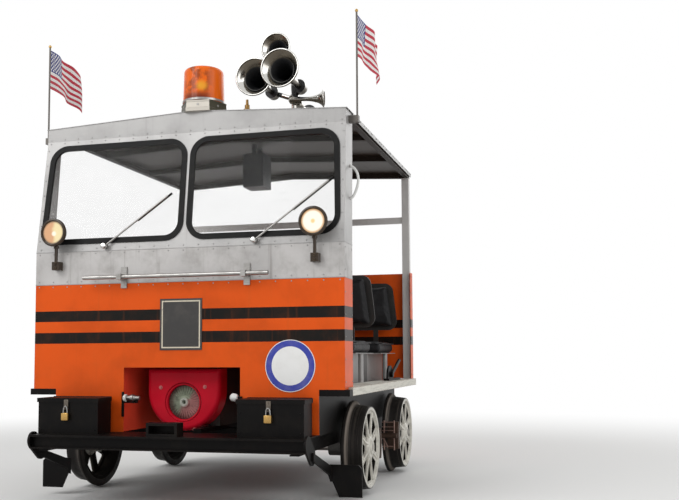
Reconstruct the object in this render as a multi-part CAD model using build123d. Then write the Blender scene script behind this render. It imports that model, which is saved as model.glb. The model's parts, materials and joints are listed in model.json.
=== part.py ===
"""Motor-driven track inspection car: a small open-sided cab on two wheelsets.

Millimetres, +Z up. The front faces -Y, so the car's left side is +X. The origin is on the ground
midway between the two bumper faces, level with the lowest point of the wheel flanges.
"""

from math import atan2, cos, degrees, hypot, radians, sin
import os

from build123d import *

# Overall plan, along Y from the front bumper face
FRONT_DECK = 220.0
CAB_LENGTH = 1677.0
REAR_DECK = 283.0
AXLE_SETBACK = 493.0
WHEELBASE = 914.0
LENGTH = FRONT_DECK + CAB_LENGTH + REAR_DECK
FRONT_Y = -LENGTH / 2
PANEL_Y = FRONT_Y + FRONT_DECK
BACK_Y = PANEL_Y + CAB_LENGTH
REAR_Y = LENGTH / 2
AXLE_Y = {"front": PANEL_Y + AXLE_SETBACK, "rear": PANEL_Y + AXLE_SETBACK + WHEELBASE}

# Overall width: the body reaches out over the wheels, the deck and sills lie between them
BODY_WIDTH = 1552.0
WHEEL_STEP = 120.0
WHEEL_CLEAR = 24.0
MIDDLE_WIDTH = BODY_WIDTH - 2 * WHEEL_STEP
FLANGE_BACK = MIDDLE_WIDTH / 2 + WHEEL_CLEAR

# Gaps between pieces
REST = 0.3
RUNNING_GAP = 0.06
PRESS_GAP = 0.05

# Wheelsets
TREAD_RADIUS = 203.0
FLANGE_DEPTH = 25.0
FLANGE_THICK = 28.0
WHEEL_WIDTH = 98.0
TREAD_CONE = 4.0
RIM_THICK = 24.0
HUB_RADIUS = 50.0
HUB_INSET = 14.0
HUB_PROUD = 10.0
HUB_CAP_RADIUS = 30.0
WEB_THICK = 13.0
WEB_SETBACK = 34.0
WEB_DISH = 14.0
WHEEL_OPENINGS = 6
OPENING_ANGLE = 40.0
OPENING_ROUND = 13.0
OPENING_MARGIN = 18.0
RIB_WIDTH = 13.0
RIB_PROUD = 12.0
AXLE_RADIUS = 19.0
FLANGE_RADIUS = TREAD_RADIUS + FLANGE_DEPTH
AXLE_Z = FLANGE_RADIUS

# Chassis
SILL_SETBACK = 56.0
SILL_WIDTH = 42.0
SILL_HEIGHT = 70.0
SILL_WALL = 6.0
DECK_Z = 326.0
DECK_THICK = 4.0
DECK_UNDER = 20.0
SILL_TOP = DECK_Z - DECK_THICK
SILL_BOTTOM = SILL_TOP - SILL_HEIGHT
CROSS_WIDTH = 45.0
CROSS_HEIGHT = 58.0
CROSS_WALL = 4.0
BEARER_HALF = 110.0
BEARER_WIDTH = 40.0
BUMPER_BEYOND = 31.0
BUMPER_DEPTH = 34.0
BUMPER_HEIGHT = 62.0
BUMPER_LIP = 9.0
BUMPER_WALL = 6.0
LINK_RADIUS = 40.0
LINK_THICK = 10.0
LINK_RUN = 62.0
LINK_DROP = 52.0
BEARING_LENGTH = 62.0
BEARING_WIDTH = 84.0
BEARING_RADIUS = 42.0
SILL_X = MIDDLE_WIDTH / 2 - SILL_SETBACK
BUMPER_WIDTH = 2 * SILL_X + SILL_WIDTH + 2 * BUMPER_BEYOND

# Sweeps ahead of the front wheels
SWEEP_GAP = 12.0
SWEEP_WIDTH = 108.0
SWEEP_HEIGHT = 145.0
SWEEP_THICK = 8.0
SWEEP_AHEAD = 118.0
SWEEP_BEYOND = 80.0
SWEEP_X = FLANGE_BACK + SWEEP_BEYOND
ARM_WIDTH = 34.0
ARM_THICK = 10.0

# Brakes
SHOE_GAP = 6.0
SHOE_THICK = 30.0
SHOE_HEIGHT = 150.0
SHOE_WIDTH = 60.0
BRAKE_BEAM_RADIUS = 14.0
PULL_ROD_RADIUS = 9.0
HANGER_WIDTH = 32.0
HANGER_THICK = 10.0

# Tow brackets
TOW_WIDTH = 148.0
TOW_DEPTH = 66.0
TOW_PLATE = 12.0
TOW_HEIGHT = 60.0
TOW_BORE = 13.0
TOW_SETBACK = 6.0

# Body sheet
SHEET = 3.0
STEP_Z = 526.0
BAND_Z = 1025.0
SEAM_Z = 1183.0
HEADER_Z = 1745.0
EAVE_Z = 1811.0
PEAK_Z = 1850.0
RAKE = 73.0
HEADER_TAPER = 7.5
RETURN_LOW = 145.0
RETURN_HIGH = 117.0
REAR_RETURN = 70.0
BAY_LEFT = 284.0
BAY_RIGHT = -298.0
BAY_TOP = 626.0
HEADER_WIDTH = BODY_WIDTH - 2 * HEADER_TAPER

# Windscreen
WINDOW_INNER = 8.0
WINDOW_EDGE_LOW = 18.0
WINDOW_EDGE_HIGH = 36.0
WINDOW_ABOVE_SEAM = 36.0
WINDOW_BELOW_HEADER = 26.0
WINDOW_RADIUS = 92.0
RUBBER_WIDTH = 26.0
RUBBER_LIP = 10.0
RUBBER_PROUD = 6.0
GLASS_THICK = 5.0

# Roof and rear posts
ROOF_OVERHANG = 6.0
ROOF_DRIP = 22.0
BOW_COUNT = 4
BOW_DEPTH = 30.0
BOW_WIDTH = 28.0
POST_WIDTH = 44.0
POST_DEPTH = 38.0
POST_WALL = 3.0
BAR_BELOW_EAVE = 296.0
BAR_HEIGHT = 38.0
BAR_THICK = 22.0

# Handles on the windscreen posts
HANDLE_ABOVE_SEAM = 212.0
HANDLE_HEIGHT = 153.0
HANDLE_RADIUS = 7.0
HANDLE_OUT = 38.0
HANDLE_BACK = 130.0
HANDLE_BEND = 18.0

# Floor, boards and engine housing
BOARD_TOP = 535.0
BOARD_THICK = 38.0
BOARD_START = 60.0
BOARD_PROUD = 20.5
BOARD_BEHIND = 22.0
FLOOR_THICK = 8.0
HOUSING_HALF = 312.0
HOUSING_TOP = 690.0
FLOOR_Z = BOARD_TOP - BOARD_THICK + FLOOR_THICK
BOARD_OUTER = BODY_WIDTH / 2 + BOARD_PROUD

# Seats
FRONT_ROW = 560.0
REAR_ROW_AHEAD = 512.0
SEAT_DEPTH = 410.0
SEAT_CLEAR = 6.0
SEAT_IN_BODY = 86.0
BASE_SETBACK = 56.0
BASE_INSET = 14.0
CUSHION_THICK = 62.0
CUSHION_ROUND = 22.0
BACK_GAP = 12.0
BACK_LOW = 150.0
BACK_HIGH = 420.0
BACK_THICK = 48.0
BACK_TAPER = 34.0
BACK_ROUND = 46.0
SHELL_THICK = 9.0
SHELL_RIM = 9.0
STRAP_WIDTH = 30.0
SEAT_POST_RADIUS = 14.0
SEAT_INNER = HOUSING_HALF + SEAT_CLEAR
SEAT_OUTER = BODY_WIDTH / 2 - SEAT_IN_BODY
BASE_OUTER = MIDDLE_WIDTH / 2 - BASE_SETBACK
# Front edge of each row, behind the front panel
SEAT_ROWS = {"front": FRONT_ROW, "rear": CAB_LENGTH - REAR_ROW_AHEAD}

# Toolboxes on the front deck
BOX_WIDTH = 305.0
BOX_HEIGHT = 160.0
BOX_DEPTH = 120.0
BOX_CENTRES = {"left": SILL_X - 119.5, "right": 101.0 - SILL_X}
BOX_BEHIND = 30.0
BOX_WALL = 2.5
LID_THICK = 3.0
LID_LIP = 16.0
LID_GAP = 2.0
HINGE_RADIUS = 5.0
HINGE_PIN = 2.0
HINGE_GAP = 3.0
HINGE_LEAF = 30.0

# Engine in the bay
ENGINE_X = -44.0
ENGINE_Z = 460.0
SHROUD_FACE = 105.0
SHROUD_DEPTH = 90.0
SHROUD_HALF = 186.0
SHROUD_TOP = 618.0
SHROUD_SHOULDER = 512.0
SHROUD_WALL = 4.0
SHROUD_ROUND = 22.0
INLET_RADIUS = 98.0
INLET_THROAT = 86.0
INLET_DEPTH = 26.0
INLET_WALL = 3.0
FLYWHEEL_RADIUS = 78.0
FLYWHEEL_SETBACK = 20.0
FLYWHEEL_PLATE = 6.0
FIN_HEIGHT = 20.0
FIN_COUNT = 16
FIN_INNER = 40.0
FIN_THICK = 4.0
STARTER_RADIUS = 24.0
STARTER_HOLE = 9.0
SHAFT_RADIUS = 15.0
SHAFT_DEPTH = 40.0
ENGINE_LENGTH = 400.0
ENGINE_HALF = 150.0
BEARER_HEIGHT = 23.0
ENGINE_TOP = 640.0
ENGINE_BASE = SILL_TOP + BEARER_HEIGHT

# Front fittings
LAMP_RADIUS = 65.0
LAMP_INSET = 128.0
LAMP_ABOVE_SEAM = 89.0
LAMP_AHEAD = 62.0
LAMP_BOWL = 62.0
LAMP_SKIN = 3.0
LENS_RADIUS = 54.0
LENS_THICK = 5.0
LAMP_STEM = 8.0
LAMP_FOOT_DROP = 90.0
LAMP_X = BODY_WIDTH / 2 - LAMP_INSET
GRAB_RADIUS = 10.0
GRAB_ABOVE_BAND = 25.0
GRAB_AHEAD = 48.0
GRAB_ENDS = (-491.0, 435.0)
CLAMP_X = (-300.0, 318.0)
CLAMP_HEIGHT = 100.0
WIPER_BELOW_WINDOW = 18.0
WIPER_RADIUS = 4.5
WIPER_LIFT = 16.0
WIPER_BOSS = 13.0
# Each wiper: pivot x, tip x, tip height above the seam
WIPERS = {"right": (-400.0, -89.0, 249.0), "left": (356.0, 700.0, 281.0)}
PLATE_X = (-114.0, 97.0)
PLATE_BELOW_BAND = 80.0
PLATE_HEIGHT = 239.0
PLATE_THICK = 2.7
DISC_INSET = 253.0
DISC_BELOW_BAND = 393.0
DISC_RADIUS = 117.0
DISC_THICK = 2.4
DISC_X = BODY_WIDTH / 2 - DISC_INSET

# Roof fittings
BEACON_X = 33.0
BEACON_BEHIND = 155.0
BEACON_RADIUS = 100.0
BEACON_TAPER = 5.0
BEACON_HEIGHT = 220.0
BEACON_BASE_HEIGHT = 44.0
BEACON_BASE_PROUD = 10.0
BEACON_ROUND = 22.0
BEACON_SKIN = 3.0
BEACON_FOOT = 4.0
REFLECTOR_POST = 80.0
REFLECTOR_POST_RADIUS = 12.0
REFLECTOR_RADIUS = 48.0
REFLECTOR_THICK = 6.0
REFLECTOR_TILT = 60.0
HORN_SKIN = 3.0
HORN_BEAD = 4.0
THROAT_RADIUS = 15.0
CHAMBER_LENGTH = 34.0
CHAMBER_OVERLAP = 8.0
# Shape of a horn's wall: radii as shares of its mouth's radius, places as shares of its length
WAIST_RADIUS = 0.44
WAIST_PLACE = 0.28
NECK_RADIUS = 0.27
NECK_PLACE = 0.55
BELL_RADIUS = 0.64
BELL_PLACE = 0.12
MANIFOLD_X = 410.0
MANIFOLD_BEHIND = 420.0
MANIFOLD_LIFT = 120.0
FOOT_SIZE = 120.0
FOOT_THICK = 8.0
# Each horn: mouth x, behind the panel, height over the peak, mouth radius, length, chamber
HORNS = (
    (290.0, 165.0, 169.0, 90.0, 260.0, 34.0),
    (452.0, 70.0, 169.0, 90.0, 300.0, 34.0),
    (397.0, 175.0, 305.0, 70.0, 230.0, 34.0),
    (560.0, 420.0, 112.0, 40.0, 130.0, 22.0),
    (430.0, 600.0, 96.0, 40.0, 150.0, 22.0),
)
# How far each horn is turned from facing forwards, in degrees
HORN_ANGLES = (0.0, 0.0, 0.0, 100.0, 180.0)
POLE_OUT = 38.5
POLE_BEHIND = 134.0
POLE_RADIUS = 4.5
POLE_ABOVE_EAVE = {"left": 472.0, "right": 451.0}
POLE_FOOT = 60.0
POLE_CLAMP = 32.0
POLE_X = HEADER_WIDTH / 2 + POLE_OUT
FLAG_FLY = 300.0
FLAG_HOIST = 200.0
FLAG_BELOW_TOP = 18.0
FLAG_THICK = 4.0

# Cab fittings
CEILING_BOX_X = (1.0, 119.0)
CEILING_BOX_BEHIND = 770.0
CEILING_BOX_DEPTH = 130.0
CEILING_BOX_HEIGHT = 186.0
CEILING_BOX_DROP = 58.0
CEILING_STRAP = 22.0
LEVER_INSET = 68.5
LEVER_AHEAD = 577.0
LEVER_BASE = 320.0
LEVER_HEIGHT = 112.0
LEVER_RADIUS = 10.0
QUADRANT_RADIUS = 74.0
LEVER_PIVOT = 90.0


def block(x, y, z):
    """Box between the low and high bounds of each axis."""
    size = [high - low for low, high in (x, y, z)]
    middle = [(high + low) / 2 for low, high in (x, y, z)]
    return Pos(*middle) * Box(*size)


def both_sides(piece):
    """The piece and its mirror image across the centre plane."""
    return piece + mirror(piece, about=Plane.YZ)


def rod(start, end, radius):
    """Round bar from one point to another."""
    line = Vector(*end) - Vector(*start)
    plane = Plane(origin=start, z_dir=line)
    return extrude(plane * Circle(radius), amount=line.length)


def rod_x(x, y, z, radius):
    """Round bar along X between two places."""
    return Pos((x[0] + x[1]) / 2, y, z) * Rot(0, 90, 0) * Cylinder(radius, x[1] - x[0])


def rod_y(x, y, z, radius):
    """Round bar along Y between two places."""
    return Pos(x, (y[0] + y[1]) / 2, z) * Rot(90, 0, 0) * Cylinder(radius, y[1] - y[0])


def outline_x(points, x, thick):
    """Plate from x towards +X with an outline of (y, z) points."""
    return extrude(Plane.YZ.offset(x) * make_face(Polyline(*points, close=True)), amount=thick)


def outline_y(points, y, thick):
    """Plate from y towards +Y with an outline of (x, z) points."""
    return extrude(Plane.XZ.offset(-y) * make_face(Polyline(*points, close=True)), amount=-thick)


def polar(radius, angle):
    """Point at a radius and an angle in degrees."""
    return (radius * cos(radians(angle)), radius * sin(radians(angle)))


# Wheelsets


def wheel():
    """Cast wheel about the X axis, its flange back at x = 0 and its outer face towards +X."""
    inner = TREAD_RADIUS - RIM_THICK
    web = WHEEL_WIDTH - WEB_SETBACK
    hub_end = WHEEL_WIDTH + HUB_PROUD
    section = [
        (0, FLANGE_RADIUS - 6),
        (5, FLANGE_RADIUS),
        (FLANGE_THICK - 10, FLANGE_RADIUS - 3),
        (FLANGE_THICK, TREAD_RADIUS + TREAD_CONE),
        (WHEEL_WIDTH - 4, TREAD_RADIUS - TREAD_CONE),
        (WHEEL_WIDTH, TREAD_RADIUS - TREAD_CONE - 4),
        (WHEEL_WIDTH, inner),
        (web, inner - 5),
        (web - WEB_DISH, HUB_RADIUS + 10),
        (web - 2, HUB_RADIUS),
        (hub_end - 14, HUB_RADIUS - 6),
        (hub_end - 8, HUB_CAP_RADIUS),
        (hub_end, HUB_CAP_RADIUS - 4),
        (hub_end, AXLE_RADIUS + PRESS_GAP),
        (HUB_INSET, AXLE_RADIUS + PRESS_GAP),
        (HUB_INSET, HUB_RADIUS),
        (web - WEB_DISH - WEB_THICK, HUB_RADIUS + 10),
        (web - WEB_THICK, inner - 5),
        (0, inner),
    ]
    profile = make_face(Polyline(*[(x, 0, r) for x, r in section], close=True))
    solid = revolve(profile, axis=Axis.X)
    low, high = HUB_RADIUS + OPENING_MARGIN + 8, inner - OPENING_MARGIN
    spread = OPENING_ANGLE / 2
    corners = [polar(low, -spread * 0.8), polar(high, -spread), polar(high, spread),
               polar(low, spread * 0.8)]
    window = fillet(make_face(Polyline(*corners, close=True)).vertices(), OPENING_ROUND)
    opening = extrude(Plane.YZ * window, amount=WHEEL_WIDTH)
    pitch = 360 / WHEEL_OPENINGS
    rib = outline_y([
        (web - WEB_DISH - 2, HUB_RADIUS - 8), (web + RIB_PROUD, HUB_RADIUS - 8),
        (web + RIB_PROUD, inner - 24), (web + 6, inner + 2), (web - 4, inner + 2),
    ], -RIB_WIDTH / 2, RIB_WIDTH)
    for turn in range(WHEEL_OPENINGS):
        solid -= Rot(pitch * turn, 0, 0) * opening
    for turn in range(WHEEL_OPENINGS):
        solid += Rot(pitch * turn, 0, 0) * rib
    return solid


def wheelset(end):
    """Axle and its two wheels at one end of the car."""
    y = AXLE_Y[end]
    half = FLANGE_BACK + WHEEL_WIDTH + HUB_PROUD - 4
    left = Pos(FLANGE_BACK, y, AXLE_Z) * wheel()
    return {
        f"{end}_axle": rod_x((-half, half), y, AXLE_Z, AXLE_RADIUS),
        f"{end}_wheels": both_sides(left),
    }


# Chassis


def side_sills():
    """Two long channels, open towards the middle, that carry everything."""
    y = (FRONT_Y + BUMPER_DEPTH, REAR_Y - BUMPER_DEPTH)
    inner, outer = SILL_X - SILL_WIDTH / 2, SILL_X + SILL_WIDTH / 2
    sill = block((inner, outer), y, (SILL_BOTTOM, SILL_TOP))
    sill -= block(
        (inner - 1, outer - SILL_WALL), y, (SILL_BOTTOM + SILL_WALL, SILL_TOP - SILL_WALL))
    return both_sides(sill)


def cross_members():
    """Tubes between the sills, with the two engine bearers on the front three."""
    half = SILL_X - SILL_WIDTH / 2
    stations = [
        PANEL_Y + CROSS_WIDTH,
        AXLE_Y["front"] - AXLE_RADIUS - CROSS_WIDTH * 2,
        (AXLE_Y["front"] + AXLE_Y["rear"]) / 2,
        AXLE_Y["rear"] + AXLE_RADIUS + CROSS_WIDTH * 2,
        BACK_Y + CROSS_WIDTH,
    ]
    low = SILL_TOP - CROSS_HEIGHT
    members = Part()
    for middle in stations:
        y = (middle - CROSS_WIDTH / 2, middle + CROSS_WIDTH / 2)
        tube = block((-half, half), y, (low, SILL_TOP))
        tube -= block(
            (-half, half), (y[0] + CROSS_WALL, y[1] - CROSS_WALL),
            (low + CROSS_WALL, SILL_TOP - CROSS_WALL))
        members += tube
    for side in (-1, 1):
        x = ENGINE_X + side * BEARER_HALF
        members += block(
            (x - BEARER_WIDTH / 2, x + BEARER_WIDTH / 2),
            (PANEL_Y + DECK_UNDER + REST, stations[2] + CROSS_WIDTH / 2), (SILL_TOP, ENGINE_BASE))
    return members


def bumper(face, inward):
    """Channel across the sill ends, open outwards, with a deeper top lip."""
    half = BUMPER_WIDTH / 2
    y = sorted((face, face + inward * BUMPER_DEPTH))
    trough = sorted((face, face + inward * (BUMPER_DEPTH - BUMPER_WALL)))
    low = DECK_Z - BUMPER_HEIGHT
    beam = block((-half, half), y, (low, DECK_Z))
    return beam - block((-half, half), trough, (low + BUMPER_WALL, DECK_Z - BUMPER_LIP))


def front_bumper():
    """Front bumper with the rounded link plates that hold the sweep arms."""
    half = BUMPER_WIDTH / 2
    start = (half, FRONT_Y + LINK_RADIUS, DECK_Z - LINK_RADIUS + 12)
    end = (half, start[1] + LINK_RUN, start[2] - LINK_DROP)
    link = rod_x((half, half + LINK_THICK), start[1], start[2], LINK_RADIUS)
    link += rod_x((half, half + LINK_THICK), end[1], end[2], LINK_RADIUS)
    reach = hypot(LINK_RUN, LINK_DROP)
    side = (LINK_DROP / reach * LINK_RADIUS, LINK_RUN / reach * LINK_RADIUS)
    link += outline_x([
        (start[1] + side[0], start[2] + side[1]), (end[1] + side[0], end[2] + side[1]),
        (end[1] - side[0], end[2] - side[1]), (start[1] - side[0], start[2] - side[1]),
    ], half, LINK_THICK)
    return bumper(FRONT_Y, 1) + both_sides(link)


def guard_sweeps():
    """Plates that hang ahead of the front wheels, with the arms that carry them."""
    link_x = BUMPER_WIDTH / 2 + LINK_THICK
    link_y = FRONT_Y + LINK_RADIUS + LINK_RUN
    link_z = DECK_Z - LINK_RADIUS + 12 - LINK_DROP
    plate_y = AXLE_Y["front"] - FLANGE_RADIUS - SWEEP_AHEAD
    low = FLANGE_DEPTH + SWEEP_GAP
    high = low + SWEEP_HEIGHT
    arm = outline_x([
        (link_y - 18, link_z - ARM_WIDTH / 2), (link_y - 18, link_z + ARM_WIDTH / 2),
        (plate_y + SWEEP_THICK, high - 10), (plate_y + SWEEP_THICK, high - 10 - ARM_WIDTH * 2),
        (plate_y - 26, high - 10 - ARM_WIDTH),
    ], link_x, ARM_THICK)
    outer = SWEEP_X + SWEEP_WIDTH / 2
    plate = outline_y([
        (link_x, high - 14 - ARM_WIDTH), (link_x, high), (outer - 16, high), (outer, high - 16),
        (outer, low), (SWEEP_X - SWEEP_WIDTH / 2, low),
    ], plate_y, SWEEP_THICK)
    return both_sides(arm + plate)


def axle_bearings():
    """Four bearing blocks that hang from the sills and hold the axles."""
    x = (SILL_X - BEARING_LENGTH / 2, SILL_X + BEARING_LENGTH / 2)
    blocks = Part()
    for y in AXLE_Y.values():
        half = BEARING_WIDTH / 2
        body = block(x, (y - half, y + half), (AXLE_Z, SILL_BOTTOM))
        round_end = rod_x(x, y, AXLE_Z, BEARING_RADIUS)
        body += round_end & block(x, (y - half, y + half), (0, AXLE_Z))
        blocks += both_sides(body - rod_x(x, y, AXLE_Z, AXLE_RADIUS + RUNNING_GAP))
    return blocks


def brake_rigging():
    """Shoes inside the wheelbase on cross beams, hung from the sills, with pull rods between."""
    rig = Part()
    middle = (AXLE_Y["front"] + AXLE_Y["rear"]) / 2
    tread_end = FLANGE_BACK + WHEEL_WIDTH
    shoe_x = (tread_end - SHOE_WIDTH, tread_end)
    reach = TREAD_RADIUS + TREAD_CONE + SHOE_GAP
    rod_z = AXLE_Z + PULL_ROD_RADIUS
    for end, inward in (("front", 1), ("rear", -1)):
        y = AXLE_Y[end]
        ring = rod_x(shoe_x, y, AXLE_Z, reach + SHOE_THICK) - rod_x(shoe_x, y, AXLE_Z, reach)
        keep = sorted((y, y + inward * (reach + SHOE_THICK)))
        shoe = ring & block(shoe_x, keep, (AXLE_Z - SHOE_HEIGHT / 2, AXLE_Z + SHOE_HEIGHT / 2))
        beam_y = y + inward * (reach + SHOE_THICK + BRAKE_BEAM_RADIUS - 4)
        hang = SILL_X + SILL_WIDTH / 2 + REST
        hanger = block(
            (hang, hang + HANGER_THICK), (beam_y - HANGER_WIDTH / 2, beam_y + HANGER_WIDTH / 2),
            (AXLE_Z - BRAKE_BEAM_RADIUS - 6, SILL_TOP - 10))
        rig += both_sides(shoe + hanger)
        rig += rod_x((-tread_end + 4, tread_end - 4), beam_y, AXLE_Z, BRAKE_BEAM_RADIUS)
        rig += rod((inward * 40, beam_y, AXLE_Z), (inward * 40, middle, rod_z), PULL_ROD_RADIUS)
    return rig + rod_x((-70, 70), middle, rod_z, PULL_ROD_RADIUS + 3)


def tow_brackets():
    """Pockets on both bumpers, each with a hole for an upright pin through its two plates."""
    brackets = Part()
    half = TOW_WIDTH / 2
    for face, inward in ((FRONT_Y, 1), (REAR_Y, -1)):
        y = sorted((face + inward * TOW_SETBACK, face + inward * (TOW_SETBACK + TOW_DEPTH)))
        mouth = sorted((y[0] if inward > 0 else y[1], face + inward * TOW_DEPTH))
        bracket = block((-half, half), y, (DECK_Z, DECK_Z + TOW_HEIGHT))
        bracket -= block(
            (-half, half), mouth, (DECK_Z + TOW_PLATE, DECK_Z + TOW_HEIGHT - TOW_PLATE))
        rib = block((half - TOW_PLATE, half), y, (DECK_Z, DECK_Z + TOW_HEIGHT))
        bracket += both_sides(rib)
        middle = (y[0] + y[1]) / 2
        bracket -= Pos(0, middle, DECK_Z + TOW_HEIGHT / 2) * Cylinder(TOW_BORE, TOW_HEIGHT)
        brackets += bracket
    return brackets


# Body shell


def front_panel():
    """Painted lower front sheet with its deeper middle, engine opening and side returns."""
    half, mid = BODY_WIDTH / 2, MIDDLE_WIDTH / 2
    face = outline_y([
        (-half, STEP_Z), (-mid, STEP_Z), (-mid, DECK_Z), (BAY_RIGHT, DECK_Z),
        (BAY_RIGHT, BAY_TOP), (BAY_LEFT, BAY_TOP), (BAY_LEFT, DECK_Z), (mid, DECK_Z),
        (mid, STEP_Z), (half, STEP_Z), (half, BAND_Z), (-half, BAND_Z),
    ], PANEL_Y, SHEET)
    side = block((half - SHEET, half), (PANEL_Y, PANEL_Y + RETURN_LOW), (STEP_Z, BAND_Z))
    return face + both_sides(side)


def cowl_panel():
    """Bare metal band between the painted sheet and the windscreen seam."""
    half = BODY_WIDTH / 2
    face = block((-half, half), (PANEL_Y, PANEL_Y + SHEET), (BAND_Z, SEAM_Z))
    side = block((half - SHEET, half), (PANEL_Y, PANEL_Y + RETURN_LOW), (BAND_Z, SEAM_Z))
    return face + both_sides(side)


def slope_length():
    """Length up the raked windscreen from the seam to the header."""
    return hypot(RAKE, HEADER_Z - SEAM_Z)


def rake_plane():
    """Plane on the outer face of the windscreen, its origin on the seam, its Y up the glass."""
    run = slope_length()
    lean = (0, -(HEADER_Z - SEAM_Z) / run, RAKE / run)
    return Plane(origin=(0, PANEL_Y, SEAM_Z), x_dir=(1, 0, 0), z_dir=lean)


def slant(z):
    """Distance up the windscreen of a height."""
    return (z - SEAM_Z) * slope_length() / (HEADER_Z - SEAM_Z)


def window_outline(inset=0.0):
    """Rounded outline of the left window on the windscreen plane, shrunk by an inset."""
    low = slant(SEAM_Z + WINDOW_ABOVE_SEAM) + inset
    high = slant(HEADER_Z - WINDOW_BELOW_HEADER) - inset
    corners = [
        (WINDOW_INNER + inset, low), (BODY_WIDTH / 2 - WINDOW_EDGE_LOW - inset, low),
        (BODY_WIDTH / 2 - WINDOW_EDGE_HIGH - inset, high), (WINDOW_INNER + inset, high)]
    face = make_face(Polyline(*corners, close=True))
    return fillet(face.vertices(), WINDOW_RADIUS - inset)


def flank_x(z):
    """Outer face of the windscreen's side return at a height."""
    share = (z - SEAM_Z) / (HEADER_Z - SEAM_Z)
    return (BODY_WIDTH - share * (BODY_WIDTH - HEADER_WIDTH)) / 2


def windscreen_frame():
    """Raked front sheet with two window openings and tapering side returns."""
    half, high = BODY_WIDTH / 2, HEADER_WIDTH / 2
    top = slope_length()
    outline = make_face(Polyline((-half, 0), (half, 0), (high, top), (-high, top), close=True))
    sheet = extrude(rake_plane() * outline, amount=-SHEET)
    cut = extrude(rake_plane() * window_outline(RUBBER_LIP), amount=40, both=True)
    sheet -= both_sides(cut)
    sheet &= block((-half, half), (PANEL_Y - 1, 0), (SEAM_Z, HEADER_Z))
    lean = degrees(atan2(half - high, HEADER_Z - SEAM_Z))
    side = outline_x([
        (PANEL_Y + SHEET / 2, SEAM_Z), (PANEL_Y + RETURN_LOW, SEAM_Z),
        (PANEL_Y + RAKE + RETURN_HIGH, HEADER_Z), (PANEL_Y + RAKE + SHEET / 2, HEADER_Z),
    ], half - SHEET, SHEET)
    side = Pos(half, 0, SEAM_Z) * Rot(0, -lean, 0) * Pos(-half, 0, -SEAM_Z) * side
    side &= block((0, half), (PANEL_Y, 0), (SEAM_Z, HEADER_Z))
    return sheet + both_sides(side)


def window_rubbers():
    """Rubber surrounds of both windows."""
    ring = extrude(rake_plane() * window_outline(), amount=RUBBER_PROUD)
    plug = extrude(rake_plane() * window_outline(RUBBER_LIP), amount=-SHEET - 4)
    hole = extrude(rake_plane() * window_outline(RUBBER_WIDTH), amount=50, both=True)
    return both_sides(ring + plug - hole)


def window_glass():
    """Two flat panes held in the rubbers."""
    pane = extrude(rake_plane() * window_outline(RUBBER_WIDTH), amount=-GLASS_THICK)
    return both_sides(pane)


def roof_line(x):
    """Height of the roof's outer surface at a distance from the centre."""
    return PEAK_Z - (PEAK_Z - EAVE_Z) * abs(x) / (HEADER_WIDTH / 2)


def gable(half, under, depth, y, thick):
    """Gable-shaped plate whose top lies a distance under the roof surface."""
    eave, peak = roof_line(half) - under, PEAK_Z - under
    return outline_y([
        (-half, eave), (0, peak), (half, eave), (half, eave - depth), (0, peak - depth),
        (-half, eave - depth),
    ], y, thick)


def header():
    """Fascia over the windscreen, closed up to the gable, with short side returns."""
    half = HEADER_WIDTH / 2
    y = PANEL_Y + RAKE
    eave = roof_line(half) - SHEET
    face = outline_y([
        (-half, HEADER_Z), (half, HEADER_Z), (half, eave), (0, PEAK_Z - SHEET), (-half, eave),
    ], y, SHEET)
    side = block((half - SHEET, half), (y, y + RETURN_HIGH), (HEADER_Z, eave - REST))
    return face + both_sides(side)


def roof_panel():
    """Shallow gable roof sheet with drip edges along both sides."""
    half = HEADER_WIDTH / 2 + ROOF_OVERHANG
    start = PANEL_Y + RAKE - SHEET
    sheet = gable(half, 0, SHEET, start, BACK_Y - start)
    drip = block(
        (half - SHEET, half), (start + RETURN_HIGH, BACK_Y),
        (roof_line(half) - ROOF_DRIP, roof_line(half) - 1))
    return sheet + both_sides(drip)


def roof_bows():
    """Cross bows under the roof sheet with the two side bars that join them."""
    half = HEADER_WIDTH / 2 - SHEET
    start, end = PANEL_Y + RAKE + SHEET + REST, BACK_Y - SHEET
    step = (end - start - BOW_WIDTH) / (BOW_COUNT - 1)
    frame = Part()
    for index in range(BOW_COUNT):
        frame += gable(half, SHEET, BOW_DEPTH, start + index * step, BOW_WIDTH)
    eave = roof_line(half) - SHEET
    side_bar = block((half - BOW_WIDTH, half), (start, end), (eave - BOW_DEPTH, eave))
    return frame + both_sides(side_bar)


def rear_panel():
    """Rear sheet behind the seats with short forward returns."""
    half, mid = BODY_WIDTH / 2, MIDDLE_WIDTH / 2
    face = outline_y([
        (-half, BOARD_TOP), (-mid, BOARD_TOP), (-mid, DECK_Z), (mid, DECK_Z), (mid, BOARD_TOP),
        (half, BOARD_TOP), (half, SEAM_Z), (-half, SEAM_Z),
    ], BACK_Y - SHEET, SHEET)
    side = block((half - SHEET, half), (BACK_Y - REAR_RETURN, BACK_Y), (BOARD_TOP, SEAM_Z))
    return face + both_sides(side)


def rear_frame():
    """Two box posts inside the rear panel up to the roof bows, with the bar between them."""
    half = HEADER_WIDTH / 2 - SHEET
    top = roof_line(half) - SHEET - BOW_DEPTH - REST
    x = (half - POST_WIDTH, half)
    y = (BACK_Y - SHEET - POST_DEPTH, BACK_Y - SHEET)
    post = block(x, y, (BOARD_TOP, top))
    post -= block(
        (x[0] + POST_WALL, x[1] - POST_WALL), (y[0] + POST_WALL, y[1] - POST_WALL),
        (BOARD_TOP, top))
    middle = (y[0] + y[1]) / 2
    bar_z = EAVE_Z - BAR_BELOW_EAVE
    bar = block(
        (-x[0], x[0]), (middle - BAR_THICK / 2, middle + BAR_THICK / 2),
        (bar_z - BAR_HEIGHT / 2, bar_z + BAR_HEIGHT / 2))
    return both_sides(post) + bar


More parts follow.
